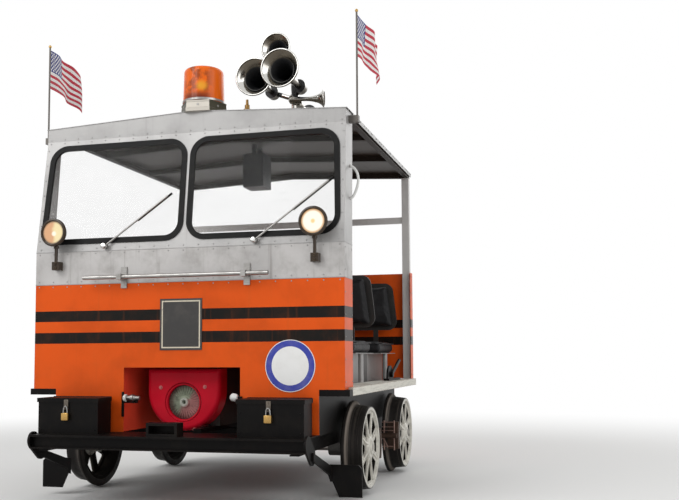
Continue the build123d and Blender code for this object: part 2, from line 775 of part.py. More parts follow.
def post_handles():
    """Bow handles on the outside of the windscreen posts."""
    low = SEAM_Z + HANDLE_ABOVE_SEAM
    high = low + HANDLE_HEIGHT
    y = PANEL_Y + HANDLE_BACK
    out = BODY_WIDTH / 2 + HANDLE_OUT
    path = FilletPolyline(
        (flank_x(low) + REST, y, low), (out, y, low), (out, y, high),
        (flank_x(high) + REST, y, high), radius=HANDLE_BEND)
    bow = sweep(Plane(origin=path @ 0, z_dir=path % 0) * Circle(HANDLE_RADIUS), path=path)
    return both_sides(bow)


# Deck, floor and boards


def deck_plates():
    """Black plates on the sills, ahead of the front panel and behind the rear one."""
    half = BUMPER_WIDTH / 2
    front = (FRONT_Y + BUMPER_DEPTH, PANEL_Y + DECK_UNDER)
    rear = (BACK_Y - DECK_UNDER, REAR_Y - BUMPER_DEPTH)
    z = (SILL_TOP, DECK_Z)
    return block((-half, half), front, z) + block((-half, half), rear, z)


def floor_pan():
    """Floor on each side of the housing, its side sheets on the sills, and the board beams."""
    half = MIDDLE_WIDTH / 2
    y = (PANEL_Y + SHEET + REST, BACK_Y - SHEET - REST)
    low = BOARD_TOP - BOARD_THICK
    pan = block((HOUSING_HALF + REST, half), y, (low, FLOOR_Z))
    pan += block((half - SHEET, half), y, (DECK_Z, low))
    pan += block(
        (SILL_X - SILL_WIDTH / 2, half), (PANEL_Y + DECK_UNDER + REST, BACK_Y - DECK_UNDER - REST),
        (SILL_TOP, DECK_Z))
    beam = block(
        (half, BOARD_OUTER), (PANEL_Y + SHEET + REST, PANEL_Y + BOARD_START - REST),
        (low, STEP_Z - REST))
    return both_sides(pan + beam)


def footboards():
    """Timber boards over the wheels on both sides."""
    half, body = MIDDLE_WIDTH / 2, BODY_WIDTH / 2
    z = (BOARD_TOP - BOARD_THICK, BOARD_TOP - REST)
    board = block(
        (half + REST, BOARD_OUTER), (PANEL_Y + BOARD_START, BACK_Y - BOARD_BEHIND), z)
    board -= block(
        (body - SHEET - REST, body + REST), (PANEL_Y, PANEL_Y + RETURN_LOW + REST),
        (STEP_Z - REST, BOARD_TOP))
    return both_sides(board)


def engine_housing():
    """Long inverted-U cover from the front opening to the rear panel."""
    y = (PANEL_Y + SHEET + REST, BACK_Y - SHEET - REST)
    half = HOUSING_HALF
    shell = block((-half, half), y, (DECK_Z, HOUSING_TOP))
    return shell - block((-half + SHEET, half - SHEET), y, (DECK_Z, HOUSING_TOP - SHEET))


# Seats


def seat_bases():
    """Sheet boxes under the seats with a post under each outer edge."""
    bases = Part()
    for behind in SEAT_ROWS.values():
        y = (PANEL_Y + behind + BASE_INSET, PANEL_Y + behind + SEAT_DEPTH + BACK_GAP)
        x = (HOUSING_HALF + REST, BASE_OUTER)
        base = block(x, y, (FLOOR_Z, HOUSING_TOP))
        base -= block(
            (x[0], x[1] - SHEET), (y[0] + SHEET, y[1] - SHEET), (FLOOR_Z, HOUSING_TOP - SHEET))
        plate = block((BASE_OUTER, SEAT_OUTER - 8), y, (HOUSING_TOP - SHEET, HOUSING_TOP))
        post_x, post_y = SEAT_OUTER - 30, (y[0] + y[1]) / 2
        post = rod(
            (post_x, post_y, BOARD_TOP), (post_x, post_y, HOUSING_TOP), SEAT_POST_RADIUS)
        bases += both_sides(base + plate + post)
    return bases


def cushions(behind):
    """Seat cushions of one row."""
    y = (PANEL_Y + behind, PANEL_Y + behind + SEAT_DEPTH)
    z = (HOUSING_TOP + REST, HOUSING_TOP + REST + CUSHION_THICK)
    pad = fillet(block((SEAT_INNER, SEAT_OUTER), y, z).edges(), CUSHION_ROUND)
    return both_sides(pad)


def back_outline(grow):
    """Seat back outline in the XZ plane, wider at the bottom, grown by a margin."""
    low, high = HOUSING_TOP + BACK_LOW - grow, HOUSING_TOP + BACK_HIGH + grow
    face = make_face(Polyline(
        (SEAT_INNER - grow, low), (SEAT_OUTER + grow, low),
        (SEAT_OUTER - BACK_TAPER + grow, high), (SEAT_INNER + BACK_TAPER / 2 - grow, high),
        close=True))
    return fillet(face.vertices(), BACK_ROUND + grow)


def seat_backs():
    """Padded backs of both rows."""
    pads = Part()
    for behind in SEAT_ROWS.values():
        y = PANEL_Y + behind + SEAT_DEPTH - BACK_THICK + BACK_GAP
        pad = extrude(Plane.XZ.offset(-y) * back_outline(0), amount=-BACK_THICK)
        pad = fillet(pad.faces().sort_by(Axis.Y)[0].edges(), CUSHION_ROUND * 0.7)
        pads += both_sides(pad)
    return pads


def seat_frames():
    """Bright shells behind the seat backs on two straps from the seat base."""
    frames = Part()
    for behind in SEAT_ROWS.values():
        y = PANEL_Y + behind + SEAT_DEPTH + BACK_GAP + REST
        shell = extrude(Plane.XZ.offset(-y) * back_outline(SHELL_RIM), amount=-SHELL_THICK)
        for x in (SEAT_INNER + 60, BASE_OUTER - 40):
            shell += block(
                (x - STRAP_WIDTH / 2, x + STRAP_WIDTH / 2), (y, y + SHELL_THICK),
                (HOUSING_TOP - 60, HOUSING_TOP + BACK_LOW + 40))
        frames += both_sides(shell)
    return frames


# Toolboxes


def toolbox(centre):
    """Open-topped box on the front deck and its hinged lid."""
    x = (centre - BOX_WIDTH / 2, centre + BOX_WIDTH / 2)
    y = (PANEL_Y - BOX_BEHIND - BOX_DEPTH, PANEL_Y - BOX_BEHIND)
    top = DECK_Z + BOX_HEIGHT
    body = block(x, y, (DECK_Z, top))
    body -= block(
        (x[0] + BOX_WALL, x[1] - BOX_WALL), (y[0] + BOX_WALL, y[1] - BOX_WALL),
        (DECK_Z + BOX_WALL, top))
    pivot_y, pivot_z = y[1] + HINGE_RADIUS + REST, top + LID_THICK / 2
    reach = LID_GAP + LID_THICK
    lid = block(
        (x[0] - reach, x[1] + reach), (y[0] - reach, y[1] - 1),
        (top - LID_LIP, top + REST + LID_THICK))
    lid -= block(
        (x[0] - LID_GAP, x[1] + LID_GAP), (y[0] - LID_GAP, y[1]), (top - LID_LIP, top + REST))
    third = BOX_WIDTH / 3
    for index in range(3):
        span = (x[0] + index * third + HINGE_GAP / 2, x[0] + (index + 1) * third - HINGE_GAP / 2)
        barrel = rod_x(span, pivot_y, pivot_z, HINGE_RADIUS)
        if index == 1:
            lid += barrel + block(span, (y[1] - 2, pivot_y), (top + REST, top + REST + 2))
            lid -= rod_x(span, pivot_y, pivot_z, HINGE_PIN + RUNNING_GAP)
        else:
            body += barrel + block(span, (y[1], y[1] + HINGE_GAP), (top - HINGE_LEAF, pivot_z))
    body += rod_x((x[0] + HINGE_GAP, x[1] - HINGE_GAP), pivot_y, pivot_z, HINGE_PIN)
    return body, lid


# Engine


def shroud_outline():
    """Blower shroud outline: flat top and sides over a half round."""
    left, right = ENGINE_X + SHROUD_HALF, ENGINE_X - SHROUD_HALF
    upper = Polyline(
        (right, SHROUD_SHOULDER), (right, SHROUD_TOP), (left, SHROUD_TOP), (left, SHROUD_SHOULDER))
    lower = ThreePointArc(
        (left, SHROUD_SHOULDER), (ENGINE_X, SHROUD_SHOULDER - SHROUD_HALF),
        (right, SHROUD_SHOULDER))
    return make_face(upper + lower)


def blower_shroud():
    """Hollow blower shroud with a funnel inlet in its face."""
    face = PANEL_Y + SHROUD_FACE
    solid = extrude(Plane.XZ.offset(-face) * shroud_outline(), amount=-SHROUD_DEPTH)
    solid = fillet(solid.faces().sort_by(Axis.Y)[0].edges(), SHROUD_ROUND)
    inside = extrude(
        Plane.XZ.offset(-face - SHROUD_WALL) * offset(shroud_outline(), -SHROUD_WALL),
        amount=-SHROUD_DEPTH)
    solid -= fillet(inside.faces().sort_by(Axis.Y)[0].edges(), SHROUD_ROUND - SHROUD_WALL)
    solid -= rod_y(ENGINE_X, (face - 1, face + SHROUD_WALL), ENGINE_Z, INLET_RADIUS)
    section = [
        (INLET_RADIUS, 0), (INLET_RADIUS, SHROUD_WALL), (INLET_THROAT + INLET_WALL, INLET_DEPTH),
        (INLET_THROAT, INLET_DEPTH), (INLET_THROAT + 4, 8), (INLET_RADIUS - 4, 0)]
    funnel = revolve(make_face(Polyline(*section, close=True)), axis=Axis.Y)
    return solid + Pos(ENGINE_X, face, ENGINE_Z) * funnel


def flywheel():
    """Finned flywheel with its starter cup and the shaft that runs into the engine."""
    front = PANEL_Y + SHROUD_FACE + FLYWHEEL_SETBACK
    plate = (front, front + FLYWHEEL_PLATE)
    rear = plate[1] + FIN_HEIGHT
    turned = rod_y(ENGINE_X, plate, ENGINE_Z, FLYWHEEL_RADIUS)
    turned += rod_y(ENGINE_X, (rear, rear + FLYWHEEL_PLATE), ENGINE_Z, FLYWHEEL_RADIUS)
    fin = block(
        (FIN_INNER, FLYWHEEL_RADIUS - 1), (plate[1] - 1, rear + 1), (-FIN_THICK / 2, FIN_THICK / 2))
    for turn in range(FIN_COUNT):
        turned += Pos(ENGINE_X, 0, ENGINE_Z) * Rot(0, 360 / FIN_COUNT * turn, 0) * fin
    turned += rod_y(ENGINE_X, (front - 8, front + 1), ENGINE_Z, STARTER_RADIUS)
    engine_face = PANEL_Y + SHROUD_FACE + SHROUD_DEPTH + REST
    turned += rod_y(ENGINE_X, (plate[1] - 1, engine_face + SHAFT_DEPTH), ENGINE_Z, SHAFT_RADIUS)
    return turned - rod_y(ENGINE_X, (front - 9, front + 18), ENGINE_Z, STARTER_HOLE)


def engine():
    """Plain block at the engine's place and size, with the bore for the flywheel shaft."""
    face = PANEL_Y + SHROUD_FACE + SHROUD_DEPTH + REST
    mass = block(
        (ENGINE_X - ENGINE_HALF, ENGINE_X + ENGINE_HALF), (face, face + ENGINE_LENGTH),
        (ENGINE_BASE, ENGINE_TOP))
    return mass - rod_y(
        ENGINE_X, (face - 1, face + SHAFT_DEPTH + REST), ENGINE_Z, SHAFT_RADIUS + RUNNING_GAP)


# Front fittings


def spot_lamps():
    """Round lamps with hollow bowls on stems from the cowl."""
    y, z = PANEL_Y - LAMP_AHEAD, SEAM_Z + LAMP_ABOVE_SEAM
    outer = LAMP_RADIUS - LAMP_SKIN - 2
    rim = Polyline(
        (LENS_RADIUS + 2, 12), (LENS_RADIUS, 8), (LENS_RADIUS, 0), (LAMP_RADIUS, 0),
        (LAMP_RADIUS, 9), (outer, 12))
    back = ThreePointArc((outer, 12), (outer * 0.78, LAMP_BOWL * 0.7), (14, LAMP_BOWL))
    close = Polyline(
        (14, LAMP_BOWL), (0, LAMP_BOWL), (0, LAMP_BOWL - LAMP_SKIN), (12, LAMP_BOWL - LAMP_SKIN))
    inside = ThreePointArc(
        (12, LAMP_BOWL - LAMP_SKIN), (outer * 0.72, LAMP_BOWL * 0.66), (LENS_RADIUS + 2, 12))
    lamp = Pos(LAMP_X, y, z) * revolve(make_face(rim + back + close + inside), axis=Axis.Y)
    stem_y = y + LAMP_BOWL / 2
    foot = SEAM_Z - LAMP_FOOT_DROP
    lamp += rod((LAMP_X, stem_y, z - outer + 6), (LAMP_X, stem_y, foot + 20), LAMP_STEM)
    lamp += block((LAMP_X - 18, LAMP_X + 18), (stem_y - 8, PANEL_Y - REST), (foot, foot + 40))
    return both_sides(lamp)


def lamp_lenses():
    """Clear discs in the mouths of the lamps."""
    y = PANEL_Y - LAMP_AHEAD
    return both_sides(
        rod_y(LAMP_X, (y + 2, y + 2 + LENS_THICK), SEAM_Z + LAMP_ABOVE_SEAM, LENS_RADIUS - REST))


def grab_bar():
    """Round bar across the cowl on two clamps."""
    y, z = PANEL_Y - GRAB_AHEAD, BAND_Z + GRAB_ABOVE_BAND
    bar = rod_x(GRAB_ENDS, y, z, GRAB_RADIUS)
    for x in CLAMP_X:
        bar += block((x - 12, x + 12), (y - 14, PANEL_Y - REST), (z - 14, z + 14))
        bar += block(
            (x - 15, x + 15), (PANEL_Y - 8, PANEL_Y - REST),
            (z - CLAMP_HEIGHT / 2, z + CLAMP_HEIGHT / 2))
    return bar


def wipers():
    """Wiper arms from their pivots below the windows to the blade tips."""
    plane = rake_plane()
    low = slant(SEAM_Z + WINDOW_ABOVE_SEAM - WIPER_BELOW_WINDOW)
    arms = Part()
    for pivot_x, tip_x, tip_z in WIPERS.values():
        start = plane.from_local_coords((pivot_x, low, WIPER_LIFT))
        end = plane.from_local_coords((tip_x, slant(SEAM_Z + tip_z), WIPER_LIFT))
        foot = plane.from_local_coords((pivot_x, low, REST))
        head = plane.from_local_coords((pivot_x, low, WIPER_LIFT + WIPER_RADIUS * 2))
        arms += rod(tuple(start), tuple(end), WIPER_RADIUS)
        arms += rod(tuple(foot), tuple(head), WIPER_BOSS)
    return arms


def blank_plate():
    """Square plate on the painted sheet."""
    top = BAND_Z - PLATE_BELOW_BAND
    return block(PLATE_X, (PANEL_Y - REST - PLATE_THICK, PANEL_Y - REST), (top - PLATE_HEIGHT, top))


def blank_disc():
    """Round plate on the painted sheet."""
    y = (PANEL_Y - REST - DISC_THICK, PANEL_Y - REST)
    return rod_y(DISC_X, y, BAND_Z - DISC_BELOW_BAND, DISC_RADIUS)


# Roof fittings


def beacon_base():
    """Plated base of the warning light, its foot shaped to the roof, with the reflector inside."""
    x, y = BEACON_X, PANEL_Y + BEACON_BEHIND
    radius = BEACON_RADIUS + BEACON_BASE_PROUD
    low = PEAK_Z + BEACON_FOOT
    base = Pos(x, y, low + BEACON_BASE_HEIGHT / 2) * Cylinder(radius, BEACON_BASE_HEIGHT)
    foot = Pos(x, y, PEAK_Z - 8) * Cylinder(radius * 0.8, 2 * (BEACON_FOOT + 9))
    foot -= gable(HEADER_WIDTH / 2, -REST, radius, y - radius, 2 * radius)
    top = low + BEACON_BASE_HEIGHT
    post = Cylinder(REFLECTOR_POST_RADIUS, REFLECTOR_POST)
    base += foot + Pos(x, y, top + REFLECTOR_POST / 2) * post
    reflector = Cylinder(REFLECTOR_RADIUS, REFLECTOR_THICK)
    reflector = Pos(x, y, top + REFLECTOR_POST) * Rot(0, REFLECTOR_TILT, 0) * reflector
    return base + reflector


def beacon_dome():
    """Hollow dome with a rounded top."""
    low = PEAK_Z + BEACON_FOOT + BEACON_BASE_HEIGHT + REST
    high = PEAK_Z + BEACON_HEIGHT
    height = high - low
    outer = Cone(BEACON_RADIUS, BEACON_RADIUS - BEACON_TAPER, height)
    outer = fillet(outer.edges().sort_by(Axis.Z)[-1], BEACON_ROUND)
    inner = Cone(
        BEACON_RADIUS - BEACON_SKIN, BEACON_RADIUS - BEACON_TAPER - BEACON_SKIN, height)
    inner = Pos(0, 0, -BEACON_SKIN) * fillet(
        inner.edges().sort_by(Axis.Z)[-1], BEACON_ROUND - BEACON_SKIN)
    return Pos(BEACON_X, PANEL_Y + BEACON_BEHIND, (low + high) / 2) * (outer - inner)


def flare(mouth, length, skin):
    """Curve of a horn's wall from its throat to its mouth, moved inwards by a skin."""
    waist = (mouth * WAIST_RADIUS - skin, length * WAIST_PLACE)
    neck = ThreePointArc(
        (THROAT_RADIUS - skin, length), (mouth * NECK_RADIUS - skin, length * NECK_PLACE), waist)
    bell = ThreePointArc(
        waist, (mouth * BELL_RADIUS - skin, length * BELL_PLACE), (mouth - skin, 0))
    return neck + bell


def trumpet(mouth, length, chamber):
    """Flared horn about Y with a rounded lip, its mouth at the origin facing -Y."""
    lip = ThreePointArc(
        (mouth, 0), (mouth + HORN_BEAD, -HORN_BEAD), (mouth - HORN_SKIN, -2 * HORN_BEAD))
    edge = Line((mouth - HORN_SKIN, -2 * HORN_BEAD), (mouth - HORN_SKIN, 0))
    end = Line((THROAT_RADIUS - HORN_SKIN, length), (THROAT_RADIUS, length))
    wall = flare(mouth, length, 0) + lip + edge + flare(mouth, length, HORN_SKIN) + end
    horn = revolve(make_face(wall), axis=Axis.Y)
    return horn + rod_y(0, (length - CHAMBER_OVERLAP, length + CHAMBER_LENGTH), 0, chamber)


def horns():
    """Cluster of trumpets on one manifold and foot."""
    hub = (MANIFOLD_X, PANEL_Y + MANIFOLD_BEHIND, PEAK_Z + MANIFOLD_LIFT)
    cluster = Part()
    for (x, behind, lift, mouth, length, chamber), yaw in zip(HORNS, HORN_ANGLES):
        y, z = PANEL_Y + behind, PEAK_Z + lift
        cluster += Pos(x, y, z) * Rot(0, 0, yaw) * trumpet(mouth, length, chamber)
        reach = length + 20
        tail = (x - reach * sin(radians(yaw)), y + reach * cos(radians(yaw)), z)
        cluster += rod(tail, hub, THROAT_RADIUS - 3)
    cluster += Pos(*hub) * Sphere(THROAT_RADIUS * 2)
    low = roof_line(hub[0] - FOOT_SIZE / 2) + REST
    cluster += rod(hub, (hub[0], hub[1], low + FOOT_THICK / 2), THROAT_RADIUS)
    return cluster + Pos(hub[0], hub[1], low + FOOT_THICK / 2) * Box(FOOT_SIZE, FOOT_SIZE, FOOT_THICK)


def flag_poles():
    """Thin poles in clamps on the roof edge."""
    y = PANEL_Y + POLE_BEHIND
    low = EAVE_Z - POLE_FOOT
    poles = Part()
    for side, rise in POLE_ABOVE_EAVE.items():
        pole = rod((POLE_X, y, low + 8), (POLE_X, y, EAVE_Z + rise), POLE_RADIUS)
        pole += block(
            (HEADER_WIDTH / 2 + REST, POLE_X + 8), (y - 14, y + 14), (low, low + POLE_CLAMP))
        poles += pole if side == "left" else mirror(pole, about=Plane.YZ)
    return poles


def flags():
    """Cloth flags flying back from their poles."""
    y = PANEL_Y + POLE_BEHIND + POLE_RADIUS + REST
    cloths = Part()
    for side, rise in POLE_ABOVE_EAVE.items():
        top = EAVE_Z + rise - FLAG_BELOW_TOP
        cloth = block(
            (POLE_X - FLAG_THICK / 2, POLE_X + FLAG_THICK / 2), (y, y + FLAG_FLY),
            (top - FLAG_HOIST, top))
        cloths += cloth if side == "left" else mirror(cloth, about=Plane.YZ)
    return cloths


# Cab fittings


def ceiling_box():
    """Small equipment box on two straps under the roof."""
    y = (PANEL_Y + CEILING_BOX_BEHIND, PANEL_Y + CEILING_BOX_BEHIND + CEILING_BOX_DEPTH)
    top = PEAK_Z - CEILING_BOX_DROP
    box = block(CEILING_BOX_X, y, (top - CEILING_BOX_HEIGHT, top))
    middle = sum(CEILING_BOX_X) / 2
    x = (middle - CEILING_STRAP / 2, middle + CEILING_STRAP / 2)
    for start in (y[0] + 8, y[1] - 8 - CEILING_STRAP):
        box += block(x, (start, start + CEILING_STRAP), (top - 4, roof_line(x[1]) - SHEET - REST))
    return box


def brake_lever():
    """Low hand lever with its quadrant on the left footboard."""
    x, y = BOARD_OUTER - LEVER_INSET, BACK_Y - LEVER_AHEAD
    base = block((x - 16, x + 16), (y, y + LEVER_BASE), (BOARD_TOP, BOARD_TOP + 12))
    pivot_y = y + LEVER_PIVOT
    quadrant = rod_x((x - 5, x + 5), pivot_y, BOARD_TOP + 10, QUADRANT_RADIUS)
    quadrant &= block(
        (x - 5, x + 5), (y, y + LEVER_BASE), (BOARD_TOP + 10, BOARD_TOP + 16 + QUADRANT_RADIUS))
    grip = (x + 12, y + LEVER_BASE - 10, BOARD_TOP + LEVER_HEIGHT)
    lever = rod((x + 12, pivot_y, BOARD_TOP + 34), grip, LEVER_RADIUS)
    pivot = rod_x((x - 5, x + 22), pivot_y, BOARD_TOP + 34, 16)
    return base + quadrant + lever + pivot


def make_nodes():
    """Every piece by its node name."""
    nodes = {}
    for end in AXLE_Y:
        nodes.update(wheelset(end))
    for make in (
        side_sills, cross_members, front_bumper, guard_sweeps, axle_bearings, brake_rigging,
        tow_brackets, front_panel, cowl_panel, windscreen_frame, window_rubbers, window_glass,
        header, roof_panel, roof_bows, rear_panel, rear_frame, post_handles, deck_plates,
        floor_pan, footboards, engine_housing, seat_bases, seat_frames, seat_backs,
        blower_shroud, flywheel, engine, spot_lamps, lamp_lenses, grab_bar, wipers, blank_plate,
        blank_disc, beacon_base, beacon_dome, horns, flag_poles, flags, ceiling_box, brake_lever,
    ):
        nodes[make.__name__] = make()
    nodes["rear_bumper"] = bumper(REAR_Y, -1)
    for row, behind in SEAT_ROWS.items():
        nodes[f"{row}_cushions"] = cushions(behind)
    nodes["toolboxes"] = Part()
    for side, centre in BOX_CENTRES.items():
        body, lid = toolbox(centre)
        nodes["toolboxes"] += body
        nodes[f"toolbox_lid_{side}"] = lid
    return nodes


os.makedirs("parts", exist_ok=True)
for name, shape in make_nodes().items():
    export_step(shape, f"parts/{name}.step")
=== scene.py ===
"""Looks of a motor-driven track inspection car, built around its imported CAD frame."""

from __future__ import annotations

import json
import logging
import math
from dataclasses import dataclass
from enum import Enum
from typing import Iterable, Optional, Sequence, Union

import bpy
from mathutils import Matrix, Vector


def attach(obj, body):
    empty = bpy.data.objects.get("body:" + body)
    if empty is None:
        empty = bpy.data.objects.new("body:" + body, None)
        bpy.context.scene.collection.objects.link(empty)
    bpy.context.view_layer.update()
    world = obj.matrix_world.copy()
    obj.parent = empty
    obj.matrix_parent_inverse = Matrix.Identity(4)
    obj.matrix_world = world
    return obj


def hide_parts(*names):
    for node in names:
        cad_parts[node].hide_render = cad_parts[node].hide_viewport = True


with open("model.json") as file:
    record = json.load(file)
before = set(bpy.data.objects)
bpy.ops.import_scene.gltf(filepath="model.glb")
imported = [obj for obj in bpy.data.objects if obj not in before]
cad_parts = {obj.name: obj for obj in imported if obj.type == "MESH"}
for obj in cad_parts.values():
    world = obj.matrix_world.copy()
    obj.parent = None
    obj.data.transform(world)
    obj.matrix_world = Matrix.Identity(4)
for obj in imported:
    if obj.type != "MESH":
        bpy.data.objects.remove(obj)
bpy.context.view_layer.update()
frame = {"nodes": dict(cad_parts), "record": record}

log = logging.getLogger("inspection_car")

Number = Union[float, "Value"]
Colour = Sequence[float]
Point = tuple[float, float, float]

CAR = "car_frame"
FRONT_WHEELS = "front_wheelset"
REAR_WHEELS = "rear_wheelset"
FLYWHEEL = "engine_flywheel"
LEFT_LID = "left_toolbox_lid"
RIGHT_LID = "right_toolbox_lid"

PANEL_Y = -0.870
BACK_Y = 0.807
AXLE_Z = 0.228
AXLE_Y = (-0.377, 0.537)
FLANGE_BACK = 0.680
ROOF_EDGE_Z = 1.803
FORWARD, UPWARD, REARWARD = (0.0, -1.0, 0.0), (0.0, 0.0, 1.0), (0.0, 1.0, 0.0)
RAKE_OUT = (0.0, -0.992, 0.129)
RAKE_FOOT, RAKE_RISE, RAKE_RUN = 1.183, 0.562, 0.073
REST = 0.0002
BEACON_X, BEACON_Y = 0.033, -0.715
ENGINE_X, ENGINE_Z = -0.044, 0.460


# Shader maths


class Value:
    """A number that varies over a surface, kept as the node socket that gives it."""

    def __init__(self, graph: Nodes, socket: bpy.types.NodeSocket) -> None:
        """Keep the socket and the tree that new nodes go to."""
        self.graph = graph
        self.socket = socket

    def _math(self, operation: str, first: Number, second: Number = 0.0) -> Value:
        """The result of a new Math node."""
        node = self.graph.node("ShaderNodeMath", {"operation": operation}, {0: first, 1: second})
        return Value(self.graph, node.outputs[0])

    def __add__(self, other: Number) -> Value:
        """Sum."""
        return self._math("ADD", self, other)

    def __radd__(self, other: Number) -> Value:
        """Sum with a number on the left."""
        return self._math("ADD", other, self)

    def __sub__(self, other: Number) -> Value:
        """Difference."""
        return self._math("SUBTRACT", self, other)

    def __rsub__(self, other: Number) -> Value:
        """Difference with a number on the left."""
        return self._math("SUBTRACT", other, self)

    def __mul__(self, other: Number) -> Value:
        """Product."""
        return self._math("MULTIPLY", self, other)

    def __rmul__(self, other: Number) -> Value:
        """Product with a number on the left."""
        return self._math("MULTIPLY", other, self)

    def __truediv__(self, other: Number) -> Value:
        """Quotient."""
        return self._math("DIVIDE", self, other)

    def __pow__(self, other: Number) -> Value:
        """Power."""
        return self._math("POWER", self, other)

    def above(self, other: Number) -> Value:
        """1 where this is greater than the other, else 0."""
        return self._math("GREATER_THAN", self, other)

    def below(self, other: Number) -> Value:
        """1 where this is less than the other, else 0."""
        return self._math("LESS_THAN", self, other)

    def between(self, low: Number, high: Number) -> Value:
        """1 between two bounds, else 0."""
        return self.above(low) * self.below(high)

    def absolute(self) -> Value:
        """Size without sign."""
        return self._math("ABSOLUTE", self)

    def fraction(self) -> Value:
        """Part after the decimal point."""
        return self._math("FRACT", self)

    def larger(self, other: Number) -> Value:
        """The larger of two."""
        return self._math("MAXIMUM", self, other)

    def smaller(self, other: Number) -> Value:
        """The smaller of two."""
        return self._math("MINIMUM", self, other)

    def clamp(self) -> Value:
        """Limit to 0..1."""
        return self.larger(0.0).smaller(1.0)

    def smooth(self, low: float, high: float) -> Value:
        """Rise from 0 at low to 1 at high, with a soft start and end.

        Args:
            low: Where the result is 0.
            high: Where the result is 1.

        Returns:
            The softened step.
        """
        node = self.graph.node(
            "ShaderNodeMapRange", {"interpolation_type": "SMOOTHSTEP"},
            {"Value": self, "From Min": low, "From Max": high, "To Min": 0.0, "To Max": 1.0})
        return Value(self.graph, node.outputs["Result"])


def distance(across: Value, along: Value) -> Value:
    """Distance from the point where both are 0."""
    return (across * across + along * along) ** 0.5


def shaded(colour: Colour, share: float) -> list[float]:
    """A colour with each channel multiplied."""
    return [channel * share for channel in colour]


class Nodes:
    """A node tree while it is being written."""

    def __init__(self, tree: bpy.types.NodeTree) -> None:
        """Keep the tree."""
        self.tree = tree

    def node(self, kind: str, settings: Optional[dict] = None,
             inputs: Optional[dict] = None) -> bpy.types.Node:
        """Add any node.

        Args:
            kind: The node's type.
            settings: Attributes that are set first.
            inputs: Values or links of its sockets, by name or index.

        Returns:
            The new node.
        """
        node = self.tree.nodes.new(kind)
        for key, value in (settings or {}).items():
            setattr(node, key, value)
        for key, value in (inputs or {}).items():
            self.feed(node.inputs[key], value)
        return node

    def feed(self, socket: bpy.types.NodeSocket, value: object) -> None:
        """Set a socket or link something to it.

        Args:
            socket: The input socket.
            value: A Value, a socket, a number or a colour.
        """
        if isinstance(value, Value):
            self.tree.links.new(value.socket, socket)
        elif isinstance(value, bpy.types.NodeSocket):
            self.tree.links.new(value, socket)
        elif socket.type == "RGBA" and len(value) == 3:
            socket.default_value = (*value, 1.0)
        else:
            socket.default_value = value

    def shown(self) -> Value:
        """Mask of the rays that show the background.

        Returns:
            1 on rays from the camera, off metal or through glass, else 0.
        """
        path = self.node("ShaderNodeLightPath")
        camera, glossy, clear = (Value(self, path.outputs[f"Is {kind} Ray"])
                                 for kind in ("Camera", "Glossy", "Transmission"))
        return camera.larger(glossy).larger(clear)


